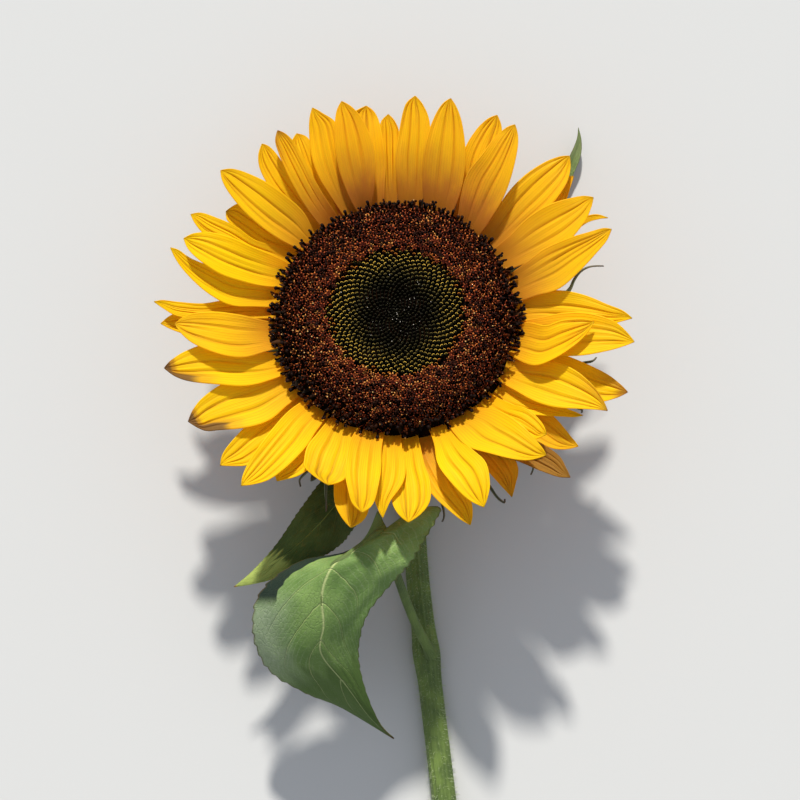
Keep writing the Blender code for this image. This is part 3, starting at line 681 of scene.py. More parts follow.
budSettings = {
    "rings": ((0.46, 0.0), (0.66, 0.55), (0.69, 1.0), (0.62, 1.38), (0.42, 1.68), (0.14, 1.8)),
    "paleFrom": 0.26 * mm,  # only the side that has turned to the light is pale
    "steps": 7,  # shades between night and day
    "night": (0.022, 0.020, 0.013),
    "day": (0.54, 0.35, 0.055),
    "body": (0.002, 0.007),
    "rust": ((0.012, 0.004, 0.002), (0.46, 0.16, 0.02)),
    "size": 0.58,
    "growth": 0.36,
    "turn": 0.25,
    "stretch": 1.15,
    "sink": 0.3,
    "specks": (0.32, 0.04),  # share of the buds with one, within the radius below and past it
    "specksEnd": 13,
    "ringWidth": 2.4,  # of the rusty buds at the border
    "resin": ((0.62, 0.56, 0.48), (0.16, 0.15, 0.11)),
    "resinRadius": 0.13 * mm,
}


def budMaterials():
    s = budSettings
    materials = []
    for step in range(s["steps"]):
        share = step / (s["steps"] - 1)
        # the lip colour is a painted highlight on the side turned to the light, from dark in the middle to
        # olive outwards
        highlight = tuple(a * (b / a) ** share for a, b in zip(s["night"], s["day"]))
        body = mixed(*s["body"], share)
        materials.append(plain(f"bud{step}", (body, body, body * 0.5), 0.7, 0.0))
        materials.append(plain(f"bud{step}Lip", highlight, 0.6, 0.03))
    body, highlight = s["rust"]
    return materials + [plain("budRust", body, 0.7, 0.0), plain("budRustLip", highlight, 0.6, 0.03)]


def makeBuds():
    s = budSettings

    def sunnySide(work):
        for face in work.faces:
            if face.material_index and face.calc_center_median().y < s["paleFrom"]:
                face.material_index = 0

    shape = asArrays(ringShape(10, s["rings"], (0, 0, 1, 1, 0), sunnySide))
    materials = budMaterials()
    last = s["steps"] - 1
    buds, specks = Crowd(), Crowd()
    for radius, azimuth, border, luck in floretSpots():
        blur = discSettings["borderBlur"]
        if radius > border + luck.uniform(-blur, blur):
            continue
        scale = s["size"] + s["growth"] * eased(radius, 1.0, 18.0)
        up = floretUp(azimuth, leanAt(radius) + luck.uniform(-0.08, 0.08))
        height = bedHeight(radius) - s["sink"] + luck.uniform(-0.12, 0.12)
        point = inBloom(radius * mm, azimuth, height * mm)
        turn = s["turn"] + luck.uniform(-0.6, 0.6)
        place = facing(point, up, turn, scale, s["stretch"] + luck.uniform(-0.12, 0.2))
        if luck.random() < s["specks"][radius >= s["specksEnd"]]:
            drift = drifted(luck, 0.4)
            bright = luck.random() < 0.2
            size = luck.uniform(0.7, 1.2) if bright else luck.uniform(0.5, 0.9)
            spot = point + (up * 2.0 * scale + drift) * mm
            specks.add(standing(spot, up, 0.0, size, 1.0), 0 if bright else 1)
        ripe = eased(radius, discSettings["darkEnd"], 19.5) * last + luck.uniform(-0.9, 0.9)
        # painted light: the lip highlights are brighter on the left of the disc
        ripe += 0.9 * max(-math.cos(azimuth), 0.0) * eased(radius, 9.0, 14.0)
        shade = min(max(round(ripe), 0), last)
        past = radius - border + s["ringWidth"]
        if past > 0 and luck.random() < 0.15 + 0.3 * past:
            shade = s["steps"]
        buds.add(place, 2 * shade)
    strew("discBuds", shape, buds, materials)
    bright, dull = s["resin"]
    resins = [plain("resin", bright, 0.35, 0.5), plain("resinDull", dull, 0.5, 0.2)]
    strew("budSpecks", grainShape(s["resinRadius"]), specks, resins)
    print("buds made:", len(buds.places))


floretSettings = {
    "lobes": 5,
    "litLobes": (1, 2),
    "litTurn": math.radians(-18),  # brings the lit lobes to the top of the bloom
    "tube": ((0.28, 0.0), (0.46, 0.6), (0.52, 1.2), (0.30, 1.1)),
    "rod": ((0.24, 0.0), (0.30, 1.3), (0.36, 2.2), (0.42, 2.7), (0.47, 3.05), (0.36, 3.35), (0.08, 3.45)),
    "forkedRod": ((0.24, 0.0), (0.30, 1.3), (0.36, 2.2), (0.38, 2.7), (0.2, 2.85), (0.05, 2.8)),
    "knob": (0.38, 3.1),  # how far to the side, and how high
    "lean": (0.7, 0.2),  # share of the bed's slope, and radians more at the rim
    "young": (21.5, 25.5),  # florets without rods grow rarer between these radii
    "rodLength": (0.42, 0.46, 0.32),  # near the buds, what it gains outwards, and at the rim
    "rodThickness": (0.84, 0.52),  # near the buds, and what it gains at the rim
    "forks": (0.2, 0.3),  # share of the rods that fork, and what it gains at the rim
    # pollen on the rods; the extra share low on the disc paints glints of light
    "dusted": (0.09, 0.34),  # share of the rods with pollen, and what it gains low on the disc
    # the lit lobes' colour is a painted highlight on the lobes turned to the top of the bloom
    "corollas": (  # tube, lobes and lit lobes
        ("Maroon", (0.030, 0.006, 0.004), (0.105, 0.020, 0.009), (0.30, 0.060, 0.020)),
        ("Rust", (0.050, 0.010, 0.005), (0.185, 0.038, 0.013), (0.47, 0.130, 0.030)),
        ("Dark", (0.010, 0.005, 0.004), (0.034, 0.010, 0.007), (0.11, 0.026, 0.012)),
        ("Amber", (0.070, 0.016, 0.006), (0.270, 0.072, 0.020), (0.62, 0.270, 0.065))),
    "rods": (  # stalk and knob, and the knob's roughness and gloss
        ("Black", (0.006, 0.002, 0.001), (0.010, 0.005, 0.004), 0.55, 0.04),
        ("Brown", (0.026, 0.007, 0.002), (0.018, 0.007, 0.004), 0.55, 0.04),
        ("Maroon", (0.075, 0.014, 0.003), (0.024, 0.006, 0.002), 0.6, 0.02)),
    "pollens": (("Amber", (0.42, 0.17, 0.035)), ("Pale", (0.55, 0.32, 0.11)), ("Deep", (0.26, 0.08, 0.018))),
    "pollenRadius": 0.26 * mm,
}


def corollaShape():
    # a short tube that opens into pointed, curled lobes
    s = floretSettings

    def lobes(work):
        for number in range(s["lobes"]):
            angle = 2 * math.pi * number / s["lobes"]
            out = Vector((math.cos(angle), math.sin(angle), 0))
            side = Vector((-out.y, out.x, 0))
            high = 1.5 + 0.25 * math.cos(number * 2.4)
            corners = (out * 0.44 + side * 0.34 + Vector((0, 0, 1.15)),
                       out * 0.44 - side * 0.34 + Vector((0, 0, 1.15)),
                       out * 0.66 + Vector((0, 0, 0.98)),
                       out * 1.05 + side * 0.14 + Vector((0, 0, high)))
            a, b, c, d = (work.verts.new(corner * mm) for corner in corners)
            for trio in ((a, b, d), (b, c, d), (c, a, d), (a, c, b)):
                work.faces.new(trio).material_index = 2 if number in s["litLobes"] else 1
    return asArrays(ringShape(s["lobes"], s["tube"], (0, 0, 0), lobes))


def forkedRodShape():
    aside, high = floretSettings["knob"]
    rod = ringShape(6, floretSettings["forkedRod"], (0, 0, 0, 1, 1))
    for side in (-1, 1):
        knob = bmesh.ops.create_icosphere(rod, subdivisions=1, radius=0.38 * mm)["verts"]
        bmesh.ops.scale(rod, vec=(1, 0.85, 1.3), verts=knob)
        bmesh.ops.translate(rod, vec=(aside * side * mm, 0, high * mm), verts=knob)
        for face in {f for v in knob for f in v.link_faces}:
            face.material_index = 1
    return asArrays(rod)


def floretMaterials():
    s = floretSettings
    cups, rods = [], []
    for name, low, lobe, highlight in s["corollas"]:
        cups += [plain("corolla" + name, low, 0.7, 0.0), plain("corolla" + name + "Lobe", lobe, 0.6, 0.03),
                 plain("corolla" + name + "Highlight", highlight, 0.55, 0.04)]
    for name, stalk, knob, roughness, gloss in s["rods"]:
        rods += [plain("rod" + name, stalk, 0.7, 0.0), plain("rod" + name + "Knob", knob, roughness, gloss)]
    return cups, rods


def corollaChoice(pick, azimuth, young):  # the first of a corolla's three materials
    shares = (0.38, 0.62 + 0.16 * abs(math.cos(azimuth)), 0.92 - 0.14 * young)
    return 3 * next((kind for kind, share in enumerate(shares) if pick < share), len(shares))


def makeFlorets():
    s = floretSettings
    cupMaterials, rodMaterials = floretMaterials()
    cups, rods, forks, dust = Crowd(), Crowd(), Crowd(), Crowd()
    (slope, rimLean), (length, gain, rimGain) = s["lean"], s["rodLength"]
    (thickness, rimThickness), (forked, rimForked) = s["rodThickness"], s["forks"]
    dusted, lowGlintGain = s["dusted"]
    for radius, azimuth, border, luck in floretSpots():
        blur = discSettings["borderBlur"]
        if radius <= border + luck.uniform(-blur, blur):
            continue
        rim = eased(radius, 33.0, 38.0)
        lean = leanAt(radius) * slope + rimLean * rim + luck.uniform(-0.22, 0.22) * (1 + rim)
        up = floretUp(azimuth + luck.uniform(-0.08, 0.08) * (1 + 3 * rim), lean)
        point = inBloom(radius * mm, azimuth, (bedHeight(radius) + 0.2) * mm)
        turn = luck.uniform(0, roundTurn)
        young = 1 - eased(radius, *s["young"])
        cup = facing(point, up, s["litTurn"] + luck.uniform(-1.1, 1.1), 1.0 + luck.uniform(-0.14, 0.2),
                     1.3 + luck.uniform(-0.3, 0.4))
        cups.add(cup, corollaChoice(luck.random(), azimuth, young))
        if young > luck.uniform(0.55, 1.1):
            continue
        grown = length + gain * eased(radius, 22.0, 34.0) + rimGain * rim + luck.uniform(-0.14, 0.18)
        thick = thickness + rimThickness * rim + luck.uniform(-0.1, 0.18)
        spot = standing(point + up * 0.2 * mm, up, turn, thick, grown / thick)
        pick = luck.random()
        choice = 0 if pick < 0.5 + 0.3 * rim else 2 if pick < 0.85 + 0.1 * rim else 4
        crowd = forks if luck.random() < forked + rimForked * rim else rods
        crowd.add(spot, choice)
        # more grains low on the disc: painted glints
        lower = eased(-math.sin(azimuth), -0.5, 0.6)
        if luck.random() < dusted + lowGlintGain * lower * (1 - 0.5 * rim):
            drift = drifted(luck, 0.3)
            tip = point + (up * (0.2 + 3.4 * grown) + drift) * mm
            grain = standing(tip, up, turn, luck.uniform(0.6, 1.15), luck.uniform(0.8, 1.4))
            dust.add(grain, luck.choice((0, 0, 1, 2)))
    strew("discCups", corollaShape(), cups, cupMaterials)
    strew("discRods", asArrays(ringShape(6, s["rod"], (0, 0, 0, 1, 1, 1))), rods, rodMaterials)
    strew("discForkedRods", forkedRodShape(), forks, rodMaterials)
    pollens = [plain("pollen" + name, colour, 0.6) for name, colour in s["pollens"]]
    strew("pollen", grainShape(s["pollenRadius"]), dust, pollens)
    print("florets made:", *(len(crowd.places) for crowd in (cups, rods, forks, dust)))


scaleSettings = {
    "rings": ((0.85, 0.0), (0.95, 1.4), (0.7, 3.0), (0.36, 4.3), (0.03, 5.2)),
    "flatness": 0.3,
    "count": 64,
    "lean": 1.12,
    "radius": 36.3,
    "height": 4.6,
    "blackShare": 0.7,
    "colours": ((0.014, 0.010, 0.007), (0.05, 0.022, 0.010)),
}


def makeScales():
    # dark pointed scales that stand between the outermost florets and the petals
    s = scaleSettings
    work = ringShape(6, s["rings"])
    bmesh.ops.scale(work, vec=(1.0, s["flatness"], 1.0), verts=work.verts)
    black, brown = s["colours"]
    materials = [plain("scaleBlack", black, 0.7, 0.0), plain("scaleBrown", brown, 0.7, 0.0)]
    luck = random.Random(5)
    scales = Crowd()
    for number in range(s["count"]):
        azimuth = math.radians(number * 360 / s["count"] + luck.uniform(-2, 2))
        up = floretUp(azimuth, s["lean"] + luck.uniform(-0.18, 0.12))
        radius = s["radius"] + rimBulge(azimuth) + luck.uniform(-0.8, 0.5)
        point = inBloom(radius * mm, azimuth, s["height"] * mm)
        side = up.cross(outwardAt(azimuth)).normalized()
        place = planted(point, side, up, 0.0, 1.0, 0.7 + luck.uniform(0, 0.28))
        scales.add(place, 0 if luck.random() < s["blackShare"] else 1)
    strew("rimScales", asArrays(work), scales, materials)


makeBed()
makeBuds()
makeFlorets()
makeScales()


# Calyx: the green back of the bloom and its bracts

calyxSettings = {
    "back": ((0.05, 0.0), (40.2, 0.0), (40.3, -1.2), (39.4, -5.0), (36.0, -9.0), (28.0, -12.4), (17.0, -15.2),
             (9.0, -17.0), (6.2, -18.0), (0.05, -18.0)),
    "bracts": 24,
    "root": 37.0 * mm,
    "rootHeight": -6.0 * mm,
    "shoulder": 50.0 * mm,
    "reach": 59.0 * mm,
    "drop": 4.0 * mm,
    "reachVariation": 1.5 * mm,
    "reachStep": 1.7,
    "turnVariation": 3.0,
    "turnStep": 2.4,
    "liftOfOdd": 5.0 * mm,
    "rest": 0.4 * mm,
    "width": 9.5 * mm,
    "thickness": 0.55 * mm,
    "hook": 1.6 * mm,
    "ribs": 0.12 * mm,
    "waves": 0.25 * mm,
    "slender": 3 * mm,  # where the half width is less than this, ribs are shallower
    "raised": ((26.0, 66.0, 13.0), (205.0, 262.0, 35.0), (262.0, 300.0, 34.0), (300.0, 335.0, 16.0)),
    "steps": (22, 8),
    "innerSteps": (16, 8),
    "innerTurn": 7.5,  # degrees from the bract outside it
    "innerOut": 1.4 * mm,
    "innerUp": 3.0 * mm,
    "innerReach": 0.78,
    "innerTipUp": 4.0 * mm,
    "innerWidening": 1.45,
    "curledSteps": (26, 4),
    "bractColours": ((0.085, 0.14, 0.032), (0.045, 0.085, 0.018), (0.085, 0.055, 0.022)),  # light, dark, tip
    "curledColours": ((0.070, 0.085, 0.028), (0.050, 0.050, 0.020), (0.075, 0.035, 0.020)),
}

# Thin bract tips that curl out past the petals: millimetres across, along and above the ground spot
curledBracts = (
    ((52.7, 6.1, 31), (57.0, 10.0, 31.5), (58.6, 13.3, 32), (60.6, 16.0, 33), (63.9, 17.6, 33),
     (68.6, 18.0, 31)),
    ((55.6, -15.1, 31), (61.6, -14.1, 32), (64.9, -13.5, 32), (66.2, -12.2, 31)),
    ((55.8, -27.1, 32), (59.8, -29.0, 33), (61.1, -29.7, 33), (61.1, -30.7, 32)),
    ((42.2, -42.0, 36), (44.5, -46.5, 37), (44.8, -48.8, 37), (44.1, -51.1, 36)),
    ((26.6, -49.4, 38), (30.6, -55.0, 39), (32.9, -58.3, 39), (35.2, -60.2, 39), (35.5, -58.9, 38)),
    ((10.2, -52.0, 40), (12.1, -56.9, 41), (14.4, -59.5, 41), (15.4, -64.1, 41), (14.8, -66.4, 40)),
    ((-22.9, -49.3, 40), (-23.3, -55.9, 41), (-23.3, -59.8, 40), (-23.3, -63.1, 38)),
    ((-25.9, -46.7, 38), (-28.5, -49.0, 39), (-30.5, -50.7, 39), (-32.1, -52.7, 38), (-31.8, -55.0, 36)),
)


def backMaterial():
    shade = Shade("calyxBackGreen", Roughness=0.6)
    spot = shade.place()
    patches = shade.cloud(spot, 90.0, 4.0, 0.55)
    fuzz = shade.cloud(spot, 1900.0, 2.0, 0.6)
    colour = shade.blend(patches.rise(0.35, 0.66), (0.09, 0.17, 0.04), (0.17, 0.27, 0.07))
    shade.paint(shade.blend(fuzz.rise(0.55, 0.8) * 0.4, colour, (0.34, 0.42, 0.20)))
    shade.relief(patches * 0.8 + fuzz * 0.35, 0.35 * mm, 0.6)
    return shade.material


def bractMaterial(name, light, dark, tip):
    shade = Shade(name, Roughness=0.62)
    flat = shade.flatPlace("blade")
    along, across = shade.axis(flat, 0), shade.axis(flat, 1)
    spot = shade.place()
    patches = shade.cloud(spot, 110.0, 4.0, 0.55)
    fuzz = shade.cloud(spot, 2200.0, 2.0, 0.6)
    veins = ribbed(across, 56.5, patches, 2.0, 3)
    edge = (across * 2 - 1).size().rise(0.82, 1.0)
    pale = shade.blend(0.3, light, (0.42, 0.50, 0.30))
    colour = shade.blend(patches.rise(0.35, 0.66), dark, light)
    colour = shade.blend(veins * 0.4, colour, pale)
    colour = shade.blend(fuzz.rise(0.55, 0.78) * 0.35, colour, pale)
    colour = shade.blend(edge * 0.5, colour, pale)
    colour = shade.blend(along.rise(0.6, 1.0) * 0.8, colour, tip)
    shade.paint(colour)
    shade.relief(veins * 0.6 + patches * 0.5 + fuzz * 0.3, 0.3 * mm, 0.7)
    shade.letLightThrough(0.15, colour)
    return shade.material


def bractTipHeight(degrees, number):
    for start, end, height in calyxSettings["raised"]:
        if start <= degrees < end:
            return height * mm
    return calyxSettings["rest"] + (0.0 if number % 2 == 0 else calyxSettings["liftOfOdd"])


def bractPlace(number, inner=False):
    s = calyxSettings
    degrees = number * 360 / s["bracts"] + s["turnVariation"] * math.sin(number * s["turnStep"])
    out = up = 0.0
    if inner:
        degrees += s["innerTurn"]
        out, up = s["innerOut"], s["innerUp"]
    azimuth = math.radians(degrees)
    reach = s["reach"] + s["reachVariation"] * math.sin(number * s["reachStep"])
    root = inBloom(s["root"] + out, azimuth, s["rootHeight"] + up)
    shoulder = inBloom(s["shoulder"], azimuth, s["rootHeight"] - s["drop"] + up)
    tip = groundSpot + Vector((math.cos(azimuth) * reach, math.sin(azimuth) * reach, 0))
    tip.z = bractTipHeight(degrees % 360, number)
    if inner:
        tip = mixed(root, tip, s["innerReach"]) + Vector((0, 0, s["innerTipUp"]))
    luck = random.Random(number + 50 * inner)
    wave, hook = luck.uniform(0, roundTurn), luck.uniform(-0.6, 1.0)

    def spine(u):
        curl = Vector((0, 0, 1)) * (s["hook"] * hook * eased(u, 0.75, 1.0))
        return root * (1 - u) ** 2 + shoulder * (2 * u * (1 - u)) + tip * u**2 + curl

    def place(u, v):
        aside, lift = acrossSpine(spine, u, faceAxis)
        half = s["width"] / 2 * (1 - u) ** 0.75 * (0.75 + 0.6 * u)
        if inner:
            half *= s["innerWidening"]
        ribs = s["ribs"] * math.cos(v * 12) * min(half / s["slender"], 1)
        wavy = s["waves"] * math.sin(u * 14 + wave) * v * abs(v)
        return spine(u) + aside * (half * v) + lift * (half * 0.2 * v * v + ribs + wavy)

    return place


def curledPlace(row):
    points = [onGround(*point) for point in row]
    way = points[0] - groundSpot
    root = inBloom(37.5 * mm, math.atan2(way.y, way.x), -4.0 * mm)
    points = [root, mixed(root, points[0], 0.55)] + points

    def spine(u):
        return through(points, u)

    def place(u, v):
        aside, lift = acrossSpine(spine, u, faceAxis)
        half = mixed(2.6, 0.55, eased(u, 0.1, 0.5)) * mm * (1 - u) ** 0.45
        turn = 1.1 * eased(u, 0.6, 1.0)
        aside = aside * math.cos(turn) + lift * math.sin(turn)
        return spine(u) + aside * (half * v) + lift * (half * 0.35 * v * v)

    return place


def joinMeshes(name, meshes):
    work = bmesh.new()
    for mesh in meshes:
        work.from_mesh(mesh)
        bpy.data.meshes.remove(mesh)
    return asMesh(work, name)


def makeBracts(name, places, steps, material):
    sheets = [bentSheet("bract", *step, place) for step, place in zip(steps, places)]
    thicken(newPiece(name, joinMeshes(name, sheets), [material]), calyxSettings["thickness"])


def makeCalyx():
    s = calyxSettings
    back = latheInBloom("calyxBack", s["back"])
    newPiece("calyxBack", back, [backMaterial()], ("calyx",))
    count = s["bracts"]
    places = [bractPlace(number, inner) for inner in (False, True) for number in range(count)]
    green = bractMaterial("bractGreen", *s["bractColours"])
    makeBracts("bracts", places, [s["steps"]] * count + [s["innerSteps"]] * count, green)
    places = [curledPlace(row) for row in curledBracts]
    brownish = bractMaterial("bractTipBrown", *s["curledColours"])
    makeBracts("curledBracts", places, [s["curledSteps"]] * len(places), brownish)
    print("calyx made")


makeCalyx()


# Leaves

leafSettings = {
    "thickness": 0.5 * mm,
    "swell": 0.12,
    "stepsAlong": 120,
    "stepsAcross": 64,
    "teeth": 15,
    "toothDepth": 0.055,
    "veins": 7,
    "veinSlope": 0.30,
    "veinDepth": 0.26 * mm,
    "quilt": 0.55 * mm,
    "waves": 0.55 * mm,
    "slender": 15 * mm,  # where a blade is narrower than this, it is flatter
}

# Left margin, midrib and right margin of each blade, root to tip, in millimetres about the ground spot
lowLeafRows = (
    ((-6.3, -62.8, 42.0), (-3.2, -68.2, 48.0), (4.9, -62.0, 47.0)),
    ((-10.2, -71.3, 41.0), (-9.6, -72.5, 51.5), (14.0, -61.5, 47.0)),
    ((-17.1, -76.4, 41.0), (-16.0, -76.9, 53.0), (10.2, -69.8, 49.5)),
    ((-32.2, -79.7, 42.0), (-21.3, -80.8, 54.0), (4.9, -78.3, 51.0)),
    ((-44.8, -89.8, 40.0), (-24.2, -89.0, 53.0), (-1.9, -86.1, 49.0)),
    ((-47.2, -103.4, 37.0), (-23.7, -99.2, 50.0), (-9.7, -96.3, 46.0)),
    ((-42.3, -115.5, 33.0), (-24.7, -108.9, 45.0), (-12.6, -107.9, 41.0)),
    ((-30.7, -123.4, 29.0), (-17.0, -119.7, 38.0), (-11.1, -119.7, 36.0)),
    ((-18.5, -129.1, 24.0), (-8.8, -131.8, 29.0), (-5.8, -133.8, 28.0)),
    ((-1.0, -139.8, 22.0), (-1.0, -139.8, 22.0), (-1.0, -139.8, 22.0)),
)
leftLeafRows = (
    ((-9.0, -44.4, 16.0), (-5.0, -46.9, 17.0), (-3.0, -51.9, 16.0)),
    ((-18.8, -46.8, 21.0), (-11.4, -52.3, 23.0), (-8.9, -61.7, 21.0)),
    ((-26.1, -54.6, 27.0), (-19.2, -60.0, 28.5), (-14.3, -68.9, 26.5)),
    ((-32.8, -63.7, 31.0), (-26.4, -68.1, 32.5), (-20.0, -75.4, 30.5)),
    ((-39.8, -74.1, 33.0), (-34.5, -75.6, 34.5), (-30.1, -80.9, 33.0)),
    ((-47.8, -83.0, 34.5), (-45.4, -84.0, 35.0), (-42.0, -85.9, 34.5)),
    ((-53.9, -88.1, 35.0), (-53.9, -88.1, 35.0), (-53.9, -88.1, 35.0)),
)
farLeafRows = (
    ((10.0, 4.0, 4.5), (13.0, 3.0, 4.5), (15.0, 1.0, 4.5)),
    ((15.0, 15.0, 4.0), (22.0, 11.0, 3.5), (29.0, 6.0, 3.5)),
    ((27.0, 27.0, 3.5), (35.0, 22.0, 2.5), (43.0, 18.0, 3.0)),
    ((42.0, 38.5, 3.0), (48.0, 34.5, 2.0), (53.5, 31.0, 3.0)),
    ((54.0, 48.5, 3.5), (56.4, 47.3, 2.5), (58.5, 46.5, 3.5)),
    ((58.8, 56.5, 4.0), (60.5, 56.5, 3.2), (62.4, 56.0, 4.0)),
    ((61.3, 62.4, 4.3), (62.1, 62.3, 4.0), (62.9, 62.2, 4.3)),
    ((61.9, 66.6, 4.5), (61.9, 66.6, 4.5), (61.9, 66.6, 4.5)),
)
# Stalks, root to blade
lowStalk = ((12.0, -112.8, 11.7), (7.2, -103.6, 18.5), (2.8, -92.6, 27.5), (-1.0, -81.0, 37.5),
            (-4.6, -69.6, 48.6))
leftStalk = ((-3.6, -36.5, 8.6), (-4.6, -42.0, 12.0), (-6.6, -47.7, 17.0))
farStalk = ((8.4, -27.0, 5.0), (11.5, -17.0, 5.0), (12.6, -6.0, 4.8), (13.6, 4.6, 4.5))
leaves = (  # piece, solid, blade, stalk and the stalk's first and last radius
    ("lowLeaf", "low_leaf", lowLeafRows, lowStalk, (1.7, 1.3)),
    ("leftLeaf", "left_leaf", leftLeafRows, leftStalk, (1.5, 1.2)),
    ("farLeaf", "far_leaf", farLeafRows, farStalk, (1.4, 1.2)),
)
# droop and tip of leafGreen paint shade on the low leaf's turned-away end, tip of leafDeepGreen paints
# sunlight on the left leaf's tip, and foldShade paints shade
leafLooks = {
    "leafGreen": {
        "light": (0.20, 0.31, 0.085), "dark": (0.115, 0.20, 0.05), "sheen": (0.33, 0.39, 0.22),
        "vein": (0.42, 0.48, 0.20), "droop": (0.080, 0.135, 0.028), "tip": (0.075, 0.130, 0.028),
        "point": (0.10, 0.045, 0.02), "foldShade": (0.009, 0.018, 0.014)},
    "leafDeepGreen": {
        "light": (0.085, 0.135, 0.028), "dark": (0.042, 0.072, 0.015), "sheen": (0.14, 0.17, 0.08),
        "vein": (0.22, 0.28, 0.07), "droop": (0.07, 0.11, 0.022), "tip": (0.40, 0.49, 0.12),
        "point": (0.22, 0.05, 0.025)},
    "leafFarGreen": {
        "light": (0.20, 0.28, 0.09), "dark": (0.14, 0.20, 0.06), "sheen": (0.24, 0.30, 0.13),
        "vein": (0.28, 0.34, 0.13), "droop": (0.22, 0.30, 0.11), "tip": (0.25, 0.32, 0.13),
        "point": (0.26, 0.28, 0.15)},
}


def veinAt(u, v):
    # how near a point of the blade is to its midrib or a side vein, from 0 to 1
    s = leafSettings
    middle = bump(v, 0.0, 0.04 * (1.15 - u))
    way = (u - s["veinSlope"] * abs(v) ** 1.25) * s["veins"] - 0.35
    offset = way - round(way)
    if not -0.3 < way < s["veins"] - 0.8:
        return middle
    return max(middle, 0.75 * bump(offset, 0.0, 0.04) * (1 - eased(abs(v), 0.55, 0.95)))


def leafPlace(rows, seed):
    s = leafSettings
    left, rib, right = ([onGround(*row[side]) for row in rows] for side in range(3))
    luck = random.Random(seed)
    shift = Vector((luck.uniform(0, 9), luck.uniform(0, 9), 0))

    def place(u, v):
        middle = through(rib, u)
        side = through(left if v < 0 else right, u)
        across = abs(v)
        teeth = u * s["teeth"] * 2
        saw = (teeth + (0.4 if v < 0 else 0)) % 1.0
        uneven = 0.75 + 0.9 * noise.noise(Vector((math.floor(teeth) * 1.7, 3.0 if v < 0 else 8.0, seed)))
        bite = s["toothDepth"] * uneven * (saw - 0.35) * eased(across, 0.8, 1.0)
        tooth = bite * eased(u, 0.06, 0.2) * (1 - eased(u, 0.93, 1.0))
        width = (side - middle).length
        room = min(width / s["slender"], 1)
        flat = middle.lerp(side, across * (1 + tooth))
        hill = width * s["swell"] * across * (1 - across)
        quilt = noise.noise(Vector((u * 9, v * 5, 0)) + shift) * s["quilt"]
        wavy = math.sin(u * 22 + seed + (2 if v < 0 else 0)) * s["waves"] * across ** 3 * room
        sink = -s["veinDepth"] * veinAt(u, v) * room
        return flat + Vector((0, 0, hill + quilt * eased(width, 0, 12 * mm) + wavy + sink))

    return place


def leafMaterial(name, light, dark, sheen, vein, droop, tip, point, foldShade=None):
    s = leafSettings
    shade = Shade(name, Roughness=0.5, Specular_IOR_Level=0.16)
    flat = shade.flatPlace("blade")
    spot = shade.place()
    along, across = shade.axis(flat, 0), shade.axis(flat, 1)
    signed = across * 2 - 1
    middle = signed.size()
    warp = shade.cloud(flat, 6.0, 2.0, 0.5) - 0.5
    way = (along - middle ** 1.25 * s["veinSlope"] + warp * 0.03) * s["veins"] - 0.35
    offset = ((way + 0.5).part() - 0.5).size()
    sideVein = (1 - offset.rise(0.006, 0.034)) * (1 - middle.rise(0.45, 0.95)) * along.rise(0.02, 0.06)
    fineVein = (1 - ((way * 5.0 + warp).part() - 0.5).size().rise(0.0, 0.16)) * middle.rise(0.1, 0.4)
    midrib = 1 - (middle + along * 0.008).rise(0.010, 0.034)
    net = shade.cells(shade.stretched(flat, (58.0, 34.0, 1.0)), 1.0, "DISTANCE_TO_EDGE")
    patches = shade.cloud(spot, 60.0, 4.0, 0.55)
    mesh = (1 - net.rise(0.0, 0.09)) * (0.2 + patches * 0.5)
    grain = shade.cloud(spot, 1500.0, 2.0, 0.6)
    colour = shade.blend(patches.rise(0.36, 0.66), dark, light)
    # towards the end the blade takes its droop colour: on the low leaf a darker green, painted shade where it
    # turns away from the light
    colour = shade.blend((along + patches * 0.3).rise(0.62, 1.05) * 0.85, colour, droop)
    colour = shade.blend(grain.rise(0.5, 0.8) * 0.3, colour, sheen)
    colour = shade.blend(mesh * 0.5, colour, light)
    colour = shade.blend(fineVein * 0.22, colour, sheen)
    # near the tip the tip colour: painted sunlight on the left leaf's tip past the bloom's shadow, painted
    # shade on the low leaf, a lighter green on the far leaf
    colour = shade.blend((along + warp * 0.2).rise(0.69, 0.74) * 0.9, colour, tip)
    colour = shade.blend(sideVein * 0.45, colour, vein)
    colour = shade.blend(midrib * 0.9, colour, vein)
    if foldShade:  # painted shade: a dark bluish-green strip along part of the left margin, where a turned-over margin would lie in shade; the mesh is not turned over
        jagged = warp * 0.25 + (shade.cells(shade.stretched(flat, (26.0, 4.0, 1.0)), 1.0) - 0.5) * 0.12
        window = along.rise(0.15, 0.18) * (1 - along.rise(0.45, 0.49))
        strip = (jagged - signed).rise(0.70, 0.72) * window
        # a greyer patch on the left half of the blade
        greyPatch = (0 - signed - warp * 0.5).rise(0.30, 0.85) * along.rise(0.40, 0.52)
        greyPatch = greyPatch * (1 - along.rise(0.62, 0.78))
        colour = shade.blend(greyPatch * (0.25 + grain * 0.5), colour, (0.34, 0.38, 0.29))
        colour = shade.blend(strip * 0.97, colour, foldShade)
    colour = shade.blend(along.rise(0.955, 0.99) * 0.8, colour, point)
    colour = shade.blend(middle.rise(0.965, 1.0) * 0.6, colour, (0.10, 0.065, 0.025))
    shade.feed(shade.skin, {"Base Color": colour, "Roughness": 0.46 + grain * 0.2})
    shade.relief(patches * 0.5 + grain * 0.3 - mesh * 0.8 - sideVein - midrib, 0.3 * mm, 0.8)
    shade.letLightThrough(0.14, colour)
    return shade.material


def ringsAlong(points, radiusAt, steps):
    # rings of (place, way, radius, material) along a smooth line
    line = [through(points, i / steps) for i in range(steps + 1)]
    rings = []
    for i, point in enumerate(line):
        ahead = (line[min(i + 1, steps)] - line[max(i - 1, 0)]).normalized()
        rings.append((point, ahead, radiusAt(i / steps), 0))
    return rings


